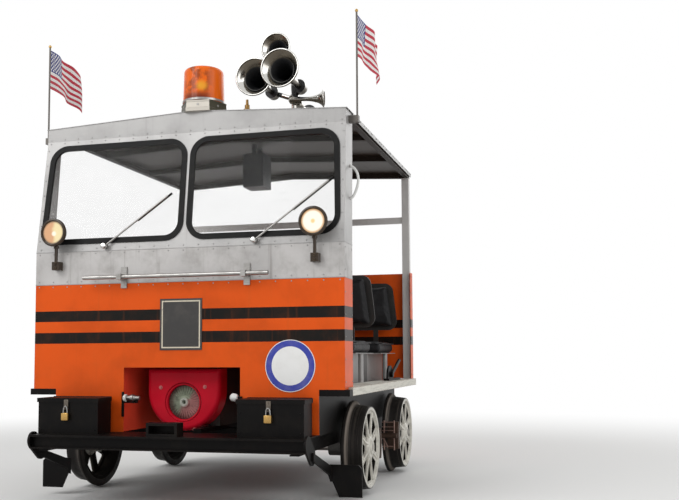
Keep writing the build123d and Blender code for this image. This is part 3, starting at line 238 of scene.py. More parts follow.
class Graph(Nodes):
    """A material's node tree, with its Principled shader."""

    def __init__(self, name: str) -> None:
        """Start a material.

        Args:
            name: The material's name.
        """
        self.material = bpy.data.materials.new(name)
        self.material.use_nodes = True
        super().__init__(self.material.node_tree)
        self.shader = self.tree.nodes["Principled BSDF"]
        self._coordinates: Optional[bpy.types.NodeSocket] = None

    @property
    def coordinates(self) -> bpy.types.NodeSocket:
        """Object coordinates, in metres in the car's frame.

        Returns:
            The socket that gives them, made on first use.
        """
        if self._coordinates is None:
            self._coordinates = self.node("ShaderNodeTexCoord").outputs["Object"]
        return self._coordinates

    def parts(self, vector: bpy.types.NodeSocket) -> tuple[Value, Value, Value]:
        """X, Y and Z of a vector."""
        split = self.node("ShaderNodeSeparateXYZ", None, {0: vector})
        return tuple(Value(self, split.outputs[index]) for index in range(3))

    def axes(self) -> tuple[Value, Value, Value]:
        """X, Y and Z of the shaded point in metres."""
        return self.parts(self.coordinates)

    def facing(self) -> tuple[Value, Value, Value]:
        """X, Y and Z of the surface normal in the car's frame."""
        return self.parts(self.node("ShaderNodeNewGeometry").outputs["Normal"])

    def stretched(self, scale: Point) -> bpy.types.NodeSocket:
        """Object coordinates scaled along each axis."""
        node = self.node("ShaderNodeMapping", None, {"Vector": self.coordinates, "Scale": scale})
        return node.outputs["Vector"]

    def noise(self, scale: float, detail: float = 3.0, rough: float = 0.55,
              vector: Optional[bpy.types.NodeSocket] = None) -> Value:
        """Soft noise from 0 to 1.

        Args:
            scale: Patches per metre.
            detail: Octaves.
            rough: Weight of the finer octaves.
            vector: Coordinates, or Object coordinates if left out.

        Returns:
            The noise.
        """
        node = self.node("ShaderNodeTexNoise", {"noise_dimensions": "3D"}, {
            "Vector": vector or self.coordinates, "Scale": scale, "Detail": detail,
            "Roughness": rough})
        return Value(self, node.outputs["Fac"])

    def cells(self, scale: float) -> Value:
        """Distance to the nearest of scattered points.

        Args:
            scale: Points to a metre.

        Returns:
            The distance, in parts of their spacing.
        """
        node = self.node("ShaderNodeTexVoronoi", {"feature": "F1"}, {
            "Vector": self.coordinates, "Scale": scale})
        return Value(self, node.outputs["Distance"])

    def mix(self, first: object, second: object, share: Number) -> bpy.types.NodeSocket:
        """Blend two colours.

        Args:
            first: Colour where the share is 0.
            second: Colour where the share is 1.
            share: The blend.

        Returns:
            The blended colour's socket.
        """
        node = self.node("ShaderNodeMix", {"data_type": "RGBA"})
        self.feed(node.inputs[0], share)
        self.feed(node.inputs[6], first)
        self.feed(node.inputs[7], second)
        return node.outputs[2]

    def edges(self, radius: float) -> Value:
        """Edge mask from the difference of the rounded and the true normal.

        Args:
            radius: Width of the worn edge in metres.

        Returns:
            0 on flat faces, rising to 1 on sharp edges.
        """
        rounded = self.node("ShaderNodeBevel", {"samples": 4}, {"Radius": radius})
        true = self.node("ShaderNodeNewGeometry").outputs["Normal"]
        dot = self.node("ShaderNodeVectorMath", {"operation": "DOT_PRODUCT"}, {
            0: rounded.outputs[0], 1: true})
        return (1.0 - Value(self, dot.outputs["Value"])) * 6.0

    def bump(self, height: Value, depth: float, strength: float = 1.0) -> None:
        """Raise the surface by a height field.

        Args:
            height: Height from 0 to 1.
            depth: Depth in metres at height 1.
            strength: Share of the effect.
        """
        node = self.node("ShaderNodeBump", None, {
            "Height": height, "Distance": depth, "Strength": strength})
        self.tree.links.new(node.outputs["Normal"], self.shader.inputs["Normal"])

    def surface(self, **inputs: object) -> None:
        """Set or link sockets of the Principled shader by name, with _ for each space."""
        for key, value in inputs.items():
            self.feed(self.shader.inputs[key.replace("_", " ")], value)


# Finishes


@dataclass(frozen=True)
class Finish:
    """A surface that is written as a material of its own name."""

    name: str

    def build(self) -> bpy.types.Material:
        """Make the material.

        Returns:
            The finished material.
        """
        g = Graph(self.name)
        self.write(g)
        return g.material

    def write(self, g: Graph) -> None:
        """Link the finish to the shader, as each finish does in its own way."""
        raise NotImplementedError


@dataclass(frozen=True)
class Enamel(Finish):
    """Paint on metal: colour, gloss, chips at its edges, dust and streaks."""

    colour: Colour
    under: Colour
    gloss: float = 0.42
    metal: float = 0.0
    chip: float = 0.4
    dust: float = 0.25
    dust_colour: Colour = (0.30, 0.25, 0.19)
    streak: float = 0.25
    edge: float = 0.004
    bands: tuple[tuple[float, float], ...] = ()
    band_colour: Colour = (0.02, 0.02, 0.02)
    dents: float = 0.0006
    shine: float = 0.25
    below: Optional[Colour] = None
    inside: Optional[tuple[float, float, float, float]] = None
    inside_colour: Colour = (0.86, 0.072, 0.038)

    def write(self, g: Graph) -> None:
        """Link the finish to the shader.

        Args:
            g: The material's graph.
        """
        x, y, z = g.axes()
        cloud = g.noise(5.0, 4.0)
        fine = g.noise(160.0, 3.0, 0.6)
        colour = g.mix(self.colour, shaded(self.colour, 0.82), cloud.smooth(0.4, 0.75))
        for low, high in self.bands:
            ragged = z + (fine - 0.5) * 0.0012
            colour = g.mix(colour, self.band_colour, ragged.between(low, high))
        runs = g.noise(1.0, 4.0, 0.6, g.stretched((42.0, 42.0, 2.2)))
        colour = g.mix(colour, self.dust_colour, runs.smooth(0.55, 0.8) * self.streak)
        settled = g.noise(9.0, 5.0, 0.65)
        low_down = 1.0 - z.smooth(0.25, 0.9)
        dust = (settled.smooth(0.42, 0.8) * (low_down * 0.7 + 0.3)) * self.dust
        colour = g.mix(colour, self.dust_colour, dust)
        patchy = g.noise(70.0, 4.0, 0.7)
        worn = (g.edges(self.edge) * patchy.smooth(0.45, 0.62)).clamp() * self.chip
        specks = g.noise(48.0, 6.0, 0.75).smooth(0.72, 0.76) * self.chip * 0.6
        worn = worn.larger(specks)
        colour = g.mix(colour, self.under, worn)
        if self.below:
            colour = g.mix(colour, self.below, g.facing()[2].below(-0.5))
        if self.inside:
            half, front, back, top = self.inside
            within = x.absolute().below(half) * y.between(front, back) * z.below(top)
            colour = g.mix(colour, self.inside_colour, within * (0.75 + cloud * 0.3).clamp())
        rough = self.gloss + dust * 0.35 + worn * 0.2 + (fine - 0.5) * 0.08
        g.surface(Base_Color=colour, Roughness=rough.clamp(), Metallic=self.metal,
                  Specular_IOR_Level=self.shine)
        g.bump(g.noise(3.0, 2.0) * self.dents * 1000 + fine * 0.03 - worn * 0.15, 0.001)


@dataclass(frozen=True)
class BareMetal(Finish):
    """Worked metal: brushed or cast, with grime in patches."""

    colour: Colour
    rough: float = 0.3
    grain: Point = (30.0, 30.0, 30.0)
    grime: float = 0.3
    grime_colour: Colour = (0.10, 0.075, 0.05)
    pitted: float = 0.0

    def write(self, g: Graph) -> None:
        """Link the finish to the shader.

        Args:
            g: The material's graph.
        """
        lines = g.noise(8.0, 4.0, 0.6, g.stretched(self.grain))
        patches = g.noise(14.0, 5.0, 0.65).smooth(0.45, 0.75)
        dark = shaded(self.colour, 0.72)
        colour = g.mix(self.colour, dark, lines.smooth(0.35, 0.75))
        colour = g.mix(colour, self.grime_colour, patches * self.grime)
        rough = self.rough + (lines - 0.5) * 0.12 + patches * self.grime * 0.4
        g.surface(Base_Color=colour, Roughness=rough.clamp(), Metallic=1.0 - patches * self.grime)
        pits = g.noise(260.0, 4.0, 0.7)
        g.bump(lines * 0.1 + pits * self.pitted, 0.0008)


@dataclass(frozen=True)
class HornPlate(Finish):
    """Worn bright plating, darkened underneath by a painted reflection and black inside the throats
    by painted shade.
    """

    colour: Colour = (0.60, 0.59, 0.56)
    # Colour of the painted reflection on downward faces, then of the painted shade in the throats.
    painted_under_reflection: Colour = (0.085, 0.065, 0.040)
    painted_throat_shade: Colour = (0.004, 0.004, 0.005)
    mouths: tuple[tuple[float, float, float], ...] = (
        (0.290, 2.019, 0.090), (0.452, 2.019, 0.090), (0.397, 2.155, 0.070))
    share: float = 0.66

    def write(self, g: Graph) -> None:
        """Link the finish to the shader.

        Args:
            g: The material's graph.
        """
        x, _, z = g.axes()
        _, ahead, up = g.facing()
        blotch = g.noise(30.0, 4.0, 0.65)
        # Painted reflection: faces that turn downwards are darkened.
        under = (1.0 - (up + (blotch - 0.5) * 0.5).smooth(-0.45, 0.10)) * 0.9
        # Painted shade: black inside each horn's mouth.
        black = None
        for centre_x, centre_z, mouth in self.mouths:
            off, down = x - centre_x, z - centre_z
            reach = distance(off, down)
            dark = 1.0 - reach.smooth(mouth * (self.share - 0.05), mouth * (self.share + 0.03))
            black = dark if black is None else black.larger(dark)
        black = black * (1.0 - ahead.smooth(-0.05, 0.02))
        colour = g.mix(self.colour, self.painted_under_reflection, under)
        colour = g.mix(colour, self.painted_throat_shade, black)
        g.surface(Base_Color=colour, Roughness=(0.13 + under * 0.12 + black * 0.4).clamp(),
                  Metallic=1.0 - black)
        g.bump(blotch * 0.3 + g.noise(180.0, 3.0) * 0.1, 0.0006)


@dataclass(frozen=True)
class DustyRotor(Finish):
    """Cast flywheel under a film of grey-green and reddish dust, dark towards one side."""

    green: Colour = (0.31, 0.345, 0.26)
    pink: Colour = (0.43, 0.20, 0.19)
    dark: Colour = (0.075, 0.022, 0.022)

    def write(self, g: Graph) -> None:
        """Link the finish to the shader.

        Args:
            g: The material's graph.
        """
        x, _, z = g.axes()
        off, up = x - ENGINE_X, z - ENGINE_Z
        reach = distance(off, up)
        cloud = g.noise(28.0, 4.0, 0.65)
        side = (off - up * 0.8 + (cloud - 0.5) * 0.06).smooth(-0.01, 0.03)
        colour = g.mix(self.green, self.pink, side)
        edge = (reach - off * 0.18).smooth(0.050, 0.082)
        colour = g.mix(colour, self.dark, edge * 0.8)
        colour = g.mix(colour, (0.50, 0.52, 0.46), (1.0 - reach.smooth(0.019, 0.023)) * 0.8)
        colour = g.mix(colour, (0.05, 0.035, 0.03), cloud.smooth(0.5, 0.75) * 0.55)
        g.surface(Base_Color=colour, Roughness=0.6 + cloud * 0.1, Metallic=0.25,
                  Specular_IOR_Level=0.25)
        g.bump(cloud * 0.6 + g.noise(240.0, 3.0) * 0.4, 0.001)


@dataclass(frozen=True)
class WheelCasting(Finish):
    """Silver-painted casting with a bright face, dirt and painted shade in its hollows, a painted
    shadow below its web and a dark greasy tread.
    """

    colour: Colour = (0.66, 0.64, 0.58)
    # Colour of dirt and of painted shade in the hollows, then of the painted shadow below the web.
    dirt_and_shade_colour: Colour = (0.075, 0.055, 0.038)
    shadow: Colour = (0.012, 0.010, 0.008)
    grease: Colour = (0.016, 0.014, 0.013)
    worn: Colour = (0.20, 0.17, 0.145)
    rim_radius: float = 0.194
    face: float = 0.098

    def write(self, g: Graph) -> None:
        """Link the finish to the shader.

        Args:
            g: The material's graph.
        """
        x, y, z = g.axes()
        up = z - AXLE_Z
        near, far = (distance(y - axle, up) for axle in AXLE_Y)
        reach = near.smaller(far)
        out = x.absolute() - FLANGE_BACK
        patches = g.noise(24.0, 5.0, 0.65)
        # Painted shade and dirt: every recess is darkened, and dirt patches gather more there.
        hollow = 1.0 - out.smooth(self.face - 0.016, self.face - 0.0085)
        dirt_and_shade = (hollow * 0.30 + patches.smooth(0.44, 0.66) * (0.25 + hollow * 0.45)).clamp()
        colour = g.mix(self.colour, shaded(self.colour, 0.8), g.noise(7.0).smooth(0.4, 0.7))
        colour = g.mix(colour, self.dirt_and_shade_colour, dirt_and_shade)
        # Painted shadow: surfaces below the web's face, in the openings and behind the web, go
        # almost black.
        floor = self.face - 0.0148 + (reach - 0.070) * 0.022
        deep = 1.0 - (out - floor).smooth(-0.0008, 0.0004)
        deep = deep * reach.smooth(0.066, 0.074) * (1.0 - reach.smooth(0.1935, 0.1945))
        colour = g.mix(colour, self.shadow, deep)
        rings = g.noise(1.0, 4.0, 0.65, g.stretched((150.0, 1.5, 1.5)))
        root = out.smooth(0.014, 0.020) * (1.0 - out.smooth(0.027, 0.034))
        polished = (rings.smooth(0.5, 0.75) * 0.3 + root * 0.7 * rings.smooth(0.3, 0.6)).clamp()
        tread = g.mix(self.grease, self.worn, polished)
        rim = reach.smooth(self.rim_radius - 0.0015, self.rim_radius + 0.0015)
        colour = g.mix(colour, tread, rim)
        g.surface(Base_Color=colour, Roughness=(0.40 + dirt_and_shade * 0.3 + deep * 0.5).clamp(),
                  Metallic=(rim * 0.5 + 0.15 * (1.0 - dirt_and_shade)) * (1.0 - deep),
                  Specular_IOR_Level=0.16)
        g.bump(g.noise(220.0, 4.0, 0.7) * 0.5 + rings * rim * 0.3, 0.0008)


@dataclass(frozen=True)
class Timber(Finish):
    """Painted board, worn through to the wood where feet scuff it."""

    colour: Colour
    wood: Colour = (0.20, 0.14, 0.09)

    def write(self, g: Graph) -> None:
        """Link the finish to the shader.

        Args:
            g: The material's graph.
        """
        grain = g.noise(20.0, 5.0, 0.6, g.stretched((6.0, 0.5, 6.0)))
        scuffs = g.noise(9.0, 6.0, 0.72)
        up = g.facing()[2].smooth(0.5, 0.9)
        worn = scuffs.smooth(0.46, 0.62) * up * 0.75 + g.edges(0.006) * scuffs.smooth(0.4, 0.6)
        worn = worn.clamp()
        colour = g.mix(self.colour, shaded(self.colour, 0.78), grain.smooth(0.4, 0.7))
        colour = g.mix(colour, self.wood, worn * 0.8)
        g.surface(Base_Color=colour, Roughness=0.62 + worn * 0.25)
        g.bump(grain * 0.5 - worn * 0.4, 0.001)


@dataclass(frozen=True)
class Moulded(Finish):
    """Rubber or plastic with a fine skin."""

    colour: Colour
    rough: float = 0.55
    dust: float = 0.2
    shine: float = 0.12

    def write(self, g: Graph) -> None:
        """Link the finish to the shader.

        Args:
            g: The material's graph.
        """
        skin = g.noise(420.0, 2.0, 0.5)
        dust = g.noise(16.0, 5.0, 0.65).smooth(0.45, 0.8) * self.dust
        colour = g.mix(self.colour, (0.10, 0.09, 0.08), dust)
        g.surface(Base_Color=colour, Roughness=self.rough + dust * 0.3,
                  Specular_IOR_Level=self.shine)
        g.bump(skin, 0.0002)


@dataclass(frozen=True)
class Vinyl(Finish):
    """Upholstery vinyl with a leather grain and a soft sheen on its creases."""

    colour: Colour

    def write(self, g: Graph) -> None:
        """Link the finish to the shader.

        Args:
            g: The material's graph.
        """
        grain = g.cells(330.0)
        creases = g.noise(26.0, 5.0, 0.7, g.stretched((1.0, 0.5, 1.0)))
        worn = g.noise(7.0, 4.0, 0.6).smooth(0.5, 0.75)
        colour = g.mix(self.colour, [c * 2.2 + 0.01 for c in self.colour], worn * 0.6)
        g.surface(Base_Color=colour, Roughness=0.42 + worn * 0.2 + (grain - 0.4) * 0.1,
                  Specular_IOR_Level=0.14)
        g.bump(grain * 0.35 + creases.smooth(0.5, 0.6) * 0.5, 0.0009)


@dataclass(frozen=True)
class Glass(Finish):
    """Thin clear sheet with a faint tint and dust."""

    tint: Colour = (0.16, 0.165, 0.16)
    rough: float = 0.03
    shade: float = 0.05

    def write(self, g: Graph) -> None:
        """Link the finish to the shader.

        Args:
            g: The material's graph.
        """
        film = g.noise(3.0, 4.0, 0.6).smooth(0.35, 0.8)
        streaks = g.noise(2.0, 4.0, 0.7, g.stretched((5.0, 5.0, 26.0))).smooth(0.5, 0.75)
        g.surface(Base_Color=g.mix(self.tint, shaded(self.tint, 0.8), film),
                  Roughness=self.rough + film * 0.04,
                  Alpha=self.shade + film * 0.03 + streaks * 0.02, Specular_IOR_Level=0.5)


@dataclass(frozen=True)
class TintedPlastic(Finish):
    """Clear coloured plastic with painted shade and a painted glow where the parts inside stand
    behind it.
    """

    colour: Colour
    foot: float
    # Colour of the painted shade of the parts inside, then of the painted glow of the bulb.
    dark: Colour = (0.26, 0.045, 0.008)
    painted_glow_colour: Colour = (0.88, 0.40, 0.030)
    alpha: float = 0.86

    def write(self, g: Graph) -> None:
        """Link the finish to the shader.

        Args:
            g: The material's graph.
        """
        x, _, z = g.axes()
        across = g.facing()[2].absolute()
        ribs = ((z * 110.0).fraction() - 0.5).absolute() * 2.0
        cloud = g.noise(21.0, 3.0, 0.6)
        off = x - BEACON_X
        core = 1.0 - off.absolute().smooth(0.045, 0.085)
        low = 1.0 - (z - self.foot + (cloud - 0.5) * 0.04).smooth(0.010, 0.045)
        # Painted shade: patches darker down the middle, where the rotator stands inside.
        colour = g.mix(self.colour, self.dark, (cloud.smooth(0.42, 0.62) * core * 0.8).clamp())
        # Painted glow of the bulb: a yellow spot above the foot.
        glow_x, glow_z = off - 0.028, z - self.foot - 0.062
        glow = 1.0 - distance(glow_x, glow_z).smooth(0.008, 0.036)
        colour = g.mix(colour, self.painted_glow_colour, glow * (0.45 + cloud * 0.8).clamp())
        # Painted shade at the foot, down the middle.
        colour = g.mix(colour, (0.16, 0.022, 0.008), low * core * 0.85)
        g.surface(Base_Color=colour, Roughness=0.16 + cloud * 0.06,
                  Alpha=(self.alpha + across * 0.1 + cloud * 0.06).clamp(), Specular_IOR_Level=0.22)
        g.bump(ribs * 0.6, 0.0006, 0.5)


@dataclass(frozen=True)
class FacetedPlate(Finish):
    """Dull plating on a base with flat facets, with painted shade that darkens those that turn
    sideways.
    """

    colour: Colour = (0.46, 0.43, 0.38)
    # Colour of the painted shade on sideways facets.
    side: Colour = (0.075, 0.070, 0.048)

    def write(self, g: Graph) -> None:
        """Link the finish to the shader.

        Args:
            g: The material's graph.
        """
        aside = g.facing()[0].absolute()
        blotch = g.noise(26.0, 4.0, 0.65)
        # Painted shade: facets that turn sideways are darkened.
        dark = (aside + (blotch - 0.5) * 0.35).smooth(0.36, 0.62)
        g.surface(Base_Color=g.mix(self.colour, self.side, dark),
                  Roughness=0.34 + blotch * 0.2, Metallic=0.5, Specular_IOR_Level=0.3)
        g.bump(blotch * 0.5 + g.noise(200.0, 3.0) * 0.2, 0.0006)


@dataclass(frozen=True)
class LitLens(Finish):
    """Pressed lamp glass: the left lamp lit with a warm centre, the right lens glowing with a
    painted reflection, a painted highlight and painted shade at its rim.
    """

    bright: Colour = (1.0, 0.92, 0.80)
    filament: Colour = (0.92, 0.52, 0.20)
    rim: Colour = (0.42, 0.20, 0.06)
    # Colours of the painted reflection on the unlit lens.
    painted_reflection_copper: Colour = (0.50, 0.20, 0.075)
    cream: Colour = (0.72, 0.62, 0.33)

    def write(self, g: Graph) -> None:
        """Link the finish to the shader.

        Args:
            g: The material's graph.
        """
        x, _, z = g.axes()
        off, down = x.absolute() - LAMP_CENTRE[0], z - LAMP_CENTRE[2]
        reach = distance(off, down)
        flutes = ((x * 130.0).fraction() - 0.5).absolute() * 2.0
        full = g.mix(self.bright, self.rim, reach.smooth(0.040, 0.053))
        full = g.mix(self.filament, full, reach.smooth(0.005, 0.014))
        # Unlit right lens: painted reflection, copper on the outer side and cream on the inner.
        patch = (g.noise(26.0, 2.0) * 0.03 - off).smooth(0.006, 0.030)
        painted_reflections = g.mix(self.painted_reflection_copper, self.cream, patch)
        # Painted highlight: a bright spot just off the lens's centre.
        highlight_reach = distance(off + 0.004, down + 0.006)
        painted_reflections = g.mix((0.95, 0.84, 0.74), painted_reflections, highlight_reach.smooth(0.006, 0.016))
        # Painted shade round the rim.
        painted_reflections = g.mix(painted_reflections, (0.10, 0.04, 0.015), reach.smooth(0.044, 0.054))
        # Both lenses glow; only the left one, where x is above 0, is a lit lamp.
        glowing = g.mix(painted_reflections, full, x.above(0.0))
        g.surface(Base_Color=(0.30, 0.24, 0.16), Roughness=0.12, Alpha=0.97,
                  Specular_IOR_Level=0.3, Emission_Color=glowing, Emission_Strength=0.9)
        g.bump(flutes, 0.0008, 0.6)


@dataclass(frozen=True)
class BorderedPlate(Finish):
    """Square black plate with a thin cream line near its edge, blank inside."""

    centre: tuple[float, float]
    half: tuple[float, float]
    colour: Colour = (0.022, 0.020, 0.019)
    line: Colour = (0.62, 0.56, 0.44)

    def write(self, g: Graph) -> None:
        """Link the finish to the shader.

        Args:
            g: The material's graph.
        """
        x, _, z = g.axes()
        side = self.half[0] - (x - self.centre[0]).absolute()
        end = self.half[1] - (z - self.centre[1]).absolute()
        inset = side.smaller(end)
        line = inset.between(0.009, 0.015)
        wear = g.noise(90.0, 5.0, 0.7)
        colour = g.mix(self.colour, self.line, line * (1.0 - wear.smooth(0.6, 0.7)))
        haze = g.noise(12.0, 4.0).smooth(0.4, 0.8)
        colour = g.mix(colour, (0.16, 0.14, 0.12), haze * 0.25)
        g.surface(Base_Color=colour, Roughness=0.45 + haze * 0.2)
        g.bump(wear * 0.2 + line * 0.5, 0.0006)


@dataclass(frozen=True)
class RimmedDisc(Finish):
    """White disc with a blue rim, blank inside."""

    centre: tuple[float, float]
    radius: float
    rim: float = 0.030
    colour: Colour = (0.80, 0.80, 0.79)
    blue: Colour = (0.02, 0.035, 0.33)

    def write(self, g: Graph) -> None:
        """Link the finish to the shader.

        Args:
            g: The material's graph.
        """
        x, _, z = g.axes()
        reach = distance(x - self.centre[0], z - self.centre[1])
        band = reach.between(self.radius - self.rim, self.radius - 0.003)
        haze = g.noise(16.0, 4.0).smooth(0.4, 0.8)
        colour = g.mix(self.colour, self.blue, band)
        colour = g.mix(colour, (0.45, 0.42, 0.37), haze * 0.2)
        g.surface(Base_Color=colour, Roughness=0.35 + haze * 0.2)
        g.bump(haze * 0.2, 0.0005)


@dataclass(frozen=True)
class FlagCloth(Finish):
    """Printed light cloth: thirteen stripes and a blue canton with rows of stars, by the UV map."""

    red: Colour = (0.50, 0.030, 0.055)
    white: Colour = (0.82, 0.81, 0.79)
    blue: Colour = (0.035, 0.045, 0.20)
    canton_fly: float = 0.40
    canton_foot: float = 6.0 / 13.0

    def write(self, g: Graph) -> None:
        """Link the finish to the shader.

        Args:
            g: The material's graph.
        """
        u, v, _ = g.parts(g.node("ShaderNodeUVMap").outputs[0])
        foot = self.canton_foot
        colour = g.mix(self.white, self.red, (v * 6.5).fraction().below(0.5))
        canton = u.below(self.canton_fly) * v.above(foot)
        across, down = u / self.canton_fly * 6.0, (v - foot) / (7.0 / 13.0) * 5.0
        star = self._star(across, down).larger(self._star(across + 0.5, down + 0.5))
        inner = u.between(0.025, 0.375) * v.between(0.49, 0.97)
        colour = g.mix(colour, g.mix(self.blue, self.white, star * inner), canton)
        weave = ((u * 520.0).fraction() - 0.5).absolute()
        weave += ((v * 340.0).fraction() - 0.5).absolute()
        # Painted shade: patches of cloth darkened as if in the shade of folds.
        painted_fold_shade = g.noise(14.0, 3.0).smooth(0.4, 0.7)
        g.surface(Base_Color=g.mix(colour, (0.25, 0.22, 0.22), painted_fold_shade * 0.12), Roughness=0.8)
        g.bump(weave, 0.0002)

    @staticmethod
    def _star(across: Value, down: Value) -> Value:
        """One dot in each cell of a grid."""
        off, up = across.fraction() - 0.5, down.fraction() - 0.5
        return distance(off, up).below(0.25)


class Slot(Enum):
    """Material slots of the record."""

    FRAME_BLACK = "frame_black"
    BODY_ORANGE = "body_orange"
    BODY_SILVER = "body_silver"
    ROOF_SILVER = "roof_silver"
    INTERIOR_BROWN = "interior_brown"
    RUBBER_BLACK = "rubber_black"
    WINDOW_GLASS = "window_glass"
    WHEEL_SILVER = "wheel_silver"
    AXLE_STEEL = "axle_steel"
    BEARING_GREY = "bearing_grey"
    ENGINE_RED = "engine_red"
    FLYWHEEL_GREY = "flywheel_grey"
    ENGINE_GREY = "engine_grey"
    BOARD_CREAM = "board_cream"
    SEAT_BLACK = "seat_black"
    CHROME = "chrome"
    BEACON_AMBER = "beacon_amber"
    LAMP_GLASS = "lamp_glass"
    BRIGHT_STEEL = "bright_steel"
    HANDLE_WHITE = "handle_white"
    PLATE_BLACK = "plate_black"
    DISC_WHITE = "disc_white"
    FLAG_CLOTH = "flag_cloth"
    PLASTIC_BLACK = "plastic_black"


STRIPES = ((0.741, 0.793), (0.846, 0.897))
PLATE_CENTRE, PLATE_HALF = (-0.0085, 0.8255), (0.1055, 0.1195)
DISC_CENTRE, DISC_RADIUS = (0.523, 0.632), 0.117
LAMP_CENTRE = (0.648, -0.932, 1.272)

FINISHES = {
    Slot.FRAME_BLACK: Enamel("black_paint", (0.0045, 0.004, 0.004), (0.06, 0.045, 0.035), 0.42,
                             chip=0.35, dust=0.14, streak=0.06, dust_colour=(0.045, 0.036, 0.028),
                             shine=0.09),
    Slot.BODY_ORANGE: Enamel("orange_paint", (0.72, 0.092, 0.008), (0.16, 0.06, 0.03), 0.34,
                             bands=STRIPES, band_colour=(0.007, 0.006, 0.005), chip=0.4,
                             dust=0.2, streak=0.14, dust_colour=(0.36, 0.09, 0.02), shine=0.13,
                             inside=(0.3115, PANEL_Y + 0.005, -0.25, 0.688)),
    Slot.BODY_SILVER: Enamel("silver_paint", (0.375, 0.368, 0.362), (0.20, 0.18, 0.16), 0.40,
                             metal=0.35, chip=0.3, dust=0.2, streak=0.3,
                             dust_colour=(0.22, 0.21, 0.20)),
    Slot.ROOF_SILVER: Enamel("roof_paint", (0.44, 0.435, 0.43), (0.2, 0.18, 0.16), 0.45,
                             metal=0.3, chip=0.3, dust=0.3, streak=0.1,
                             dust_colour=(0.20, 0.19, 0.17), shine=0.12,
                             below=(0.034, 0.025, 0.018)),
    Slot.INTERIOR_BROWN: Enamel("brown_paint", (0.022, 0.016, 0.012), (0.08, 0.06, 0.05), 0.5,
                                chip=0.2, dust=0.1, streak=0.05, shine=0.1,
                                dust_colour=(0.06, 0.045, 0.033)),
    Slot.RUBBER_BLACK: Moulded("window_rubber", (0.008, 0.008, 0.008), 0.5, 0.12),
    Slot.WINDOW_GLASS: Glass("window_pane"),
    Slot.WHEEL_SILVER: WheelCasting("wheel_casting"),
    Slot.AXLE_STEEL: BareMetal("axle_steel", (0.30, 0.28, 0.26), 0.35, (2.0, 40.0, 40.0), 0.5),
    Slot.BEARING_GREY: BareMetal("bearing_casting", (0.10, 0.095, 0.09), 0.55, grime=0.6,
                                 pitted=0.4),
    Slot.ENGINE_RED: Enamel("crimson_paint", (0.62, 0.008, 0.026), (0.12, 0.08, 0.07), 0.30,
                            chip=0.3, dust=0.12, streak=0.08, dust_colour=(0.12, 0.03, 0.03),
                            shine=0.08),
    Slot.FLYWHEEL_GREY: BareMetal("cast_aluminium", (0.36, 0.35, 0.33), 0.45, grime=0.5,
                                  pitted=0.5),
    Slot.ENGINE_GREY: BareMetal("engine_casting", (0.09, 0.085, 0.08), 0.6, grime=0.6, pitted=0.6),
    Slot.BOARD_CREAM: Timber("board_paint", (0.66, 0.64, 0.57)),
    Slot.SEAT_BLACK: Vinyl("seat_vinyl", (0.014, 0.014, 0.015)),
    Slot.CHROME: BareMetal("bright_plate", (0.72, 0.71, 0.69), 0.10, (4.0, 4.0, 4.0), 0.06),
    Slot.BEACON_AMBER: TintedPlastic("amber_dome", (0.86, 0.145, 0.006), 1.906),
    Slot.LAMP_GLASS: LitLens("lamp_lens"),
    Slot.BRIGHT_STEEL: BareMetal("bright_bar", (0.38, 0.37, 0.355), 0.33, (3.0, 30.0, 30.0), 0.35),
    Slot.HANDLE_WHITE: Enamel("white_enamel", (0.74, 0.74, 0.72), (0.3, 0.28, 0.25), 0.3,
                              chip=0.3, dust=0.1, streak=0.05, edge=0.001),
    Slot.PLATE_BLACK: BorderedPlate("square_plate", PLATE_CENTRE, PLATE_HALF),
    Slot.DISC_WHITE: RimmedDisc("round_plate", DISC_CENTRE, DISC_RADIUS),
    Slot.FLAG_CLOTH: FlagCloth("printed_cloth"),
    Slot.PLASTIC_BLACK: Moulded("black_plastic", (0.03, 0.03, 0.032), 0.4, 0.2),
}


RUSTY_IRON = BareMetal("rusty_iron", (0.085, 0.055, 0.042), 0.62, (8.0, 8.0, 8.0), 0.75,
                       (0.060, 0.026, 0.015), 0.8)
WORN_RODS = BareMetal("worn_rods", (0.30, 0.20, 0.17), 0.5, (8.0, 8.0, 8.0), 0.6,
                      (0.12, 0.05, 0.03), 0.6)
LAMP_SHELL = Enamel("lamp_shell", (0.030, 0.018, 0.009), (0.25, 0.17, 0.08), 0.25, chip=0.25,
                    dust=0.1, streak=0.05, shine=0.35, dust_colour=(0.12, 0.09, 0.06))
DARK_FITTING = BareMetal("dark_fitting", (0.14, 0.12, 0.10), 0.4, grime=0.4)
BRASS = BareMetal("aged_brass", (0.55, 0.34, 0.11), 0.28, grime=0.25)
BROWN_BRASS = BareMetal("brown_brass", (0.26, 0.155, 0.055), 0.35, grime=0.4)
DULL_POLE = BareMetal("dull_pole", (0.13, 0.12, 0.11), 0.45, grime=0.3)
ROTOR = DustyRotor("dusty_rotor")
BASE_PLATE = FacetedPlate("faceted_plate")
VALVE_PLATE = BareMetal("valve_plate", (0.26, 0.25, 0.24), 0.3, grime=0.4)
SCREW_RED = Enamel("screw_red", (0.62, 0.14, 0.14), (0.4, 0.3, 0.3), 0.3, chip=0.2, shine=0.5)
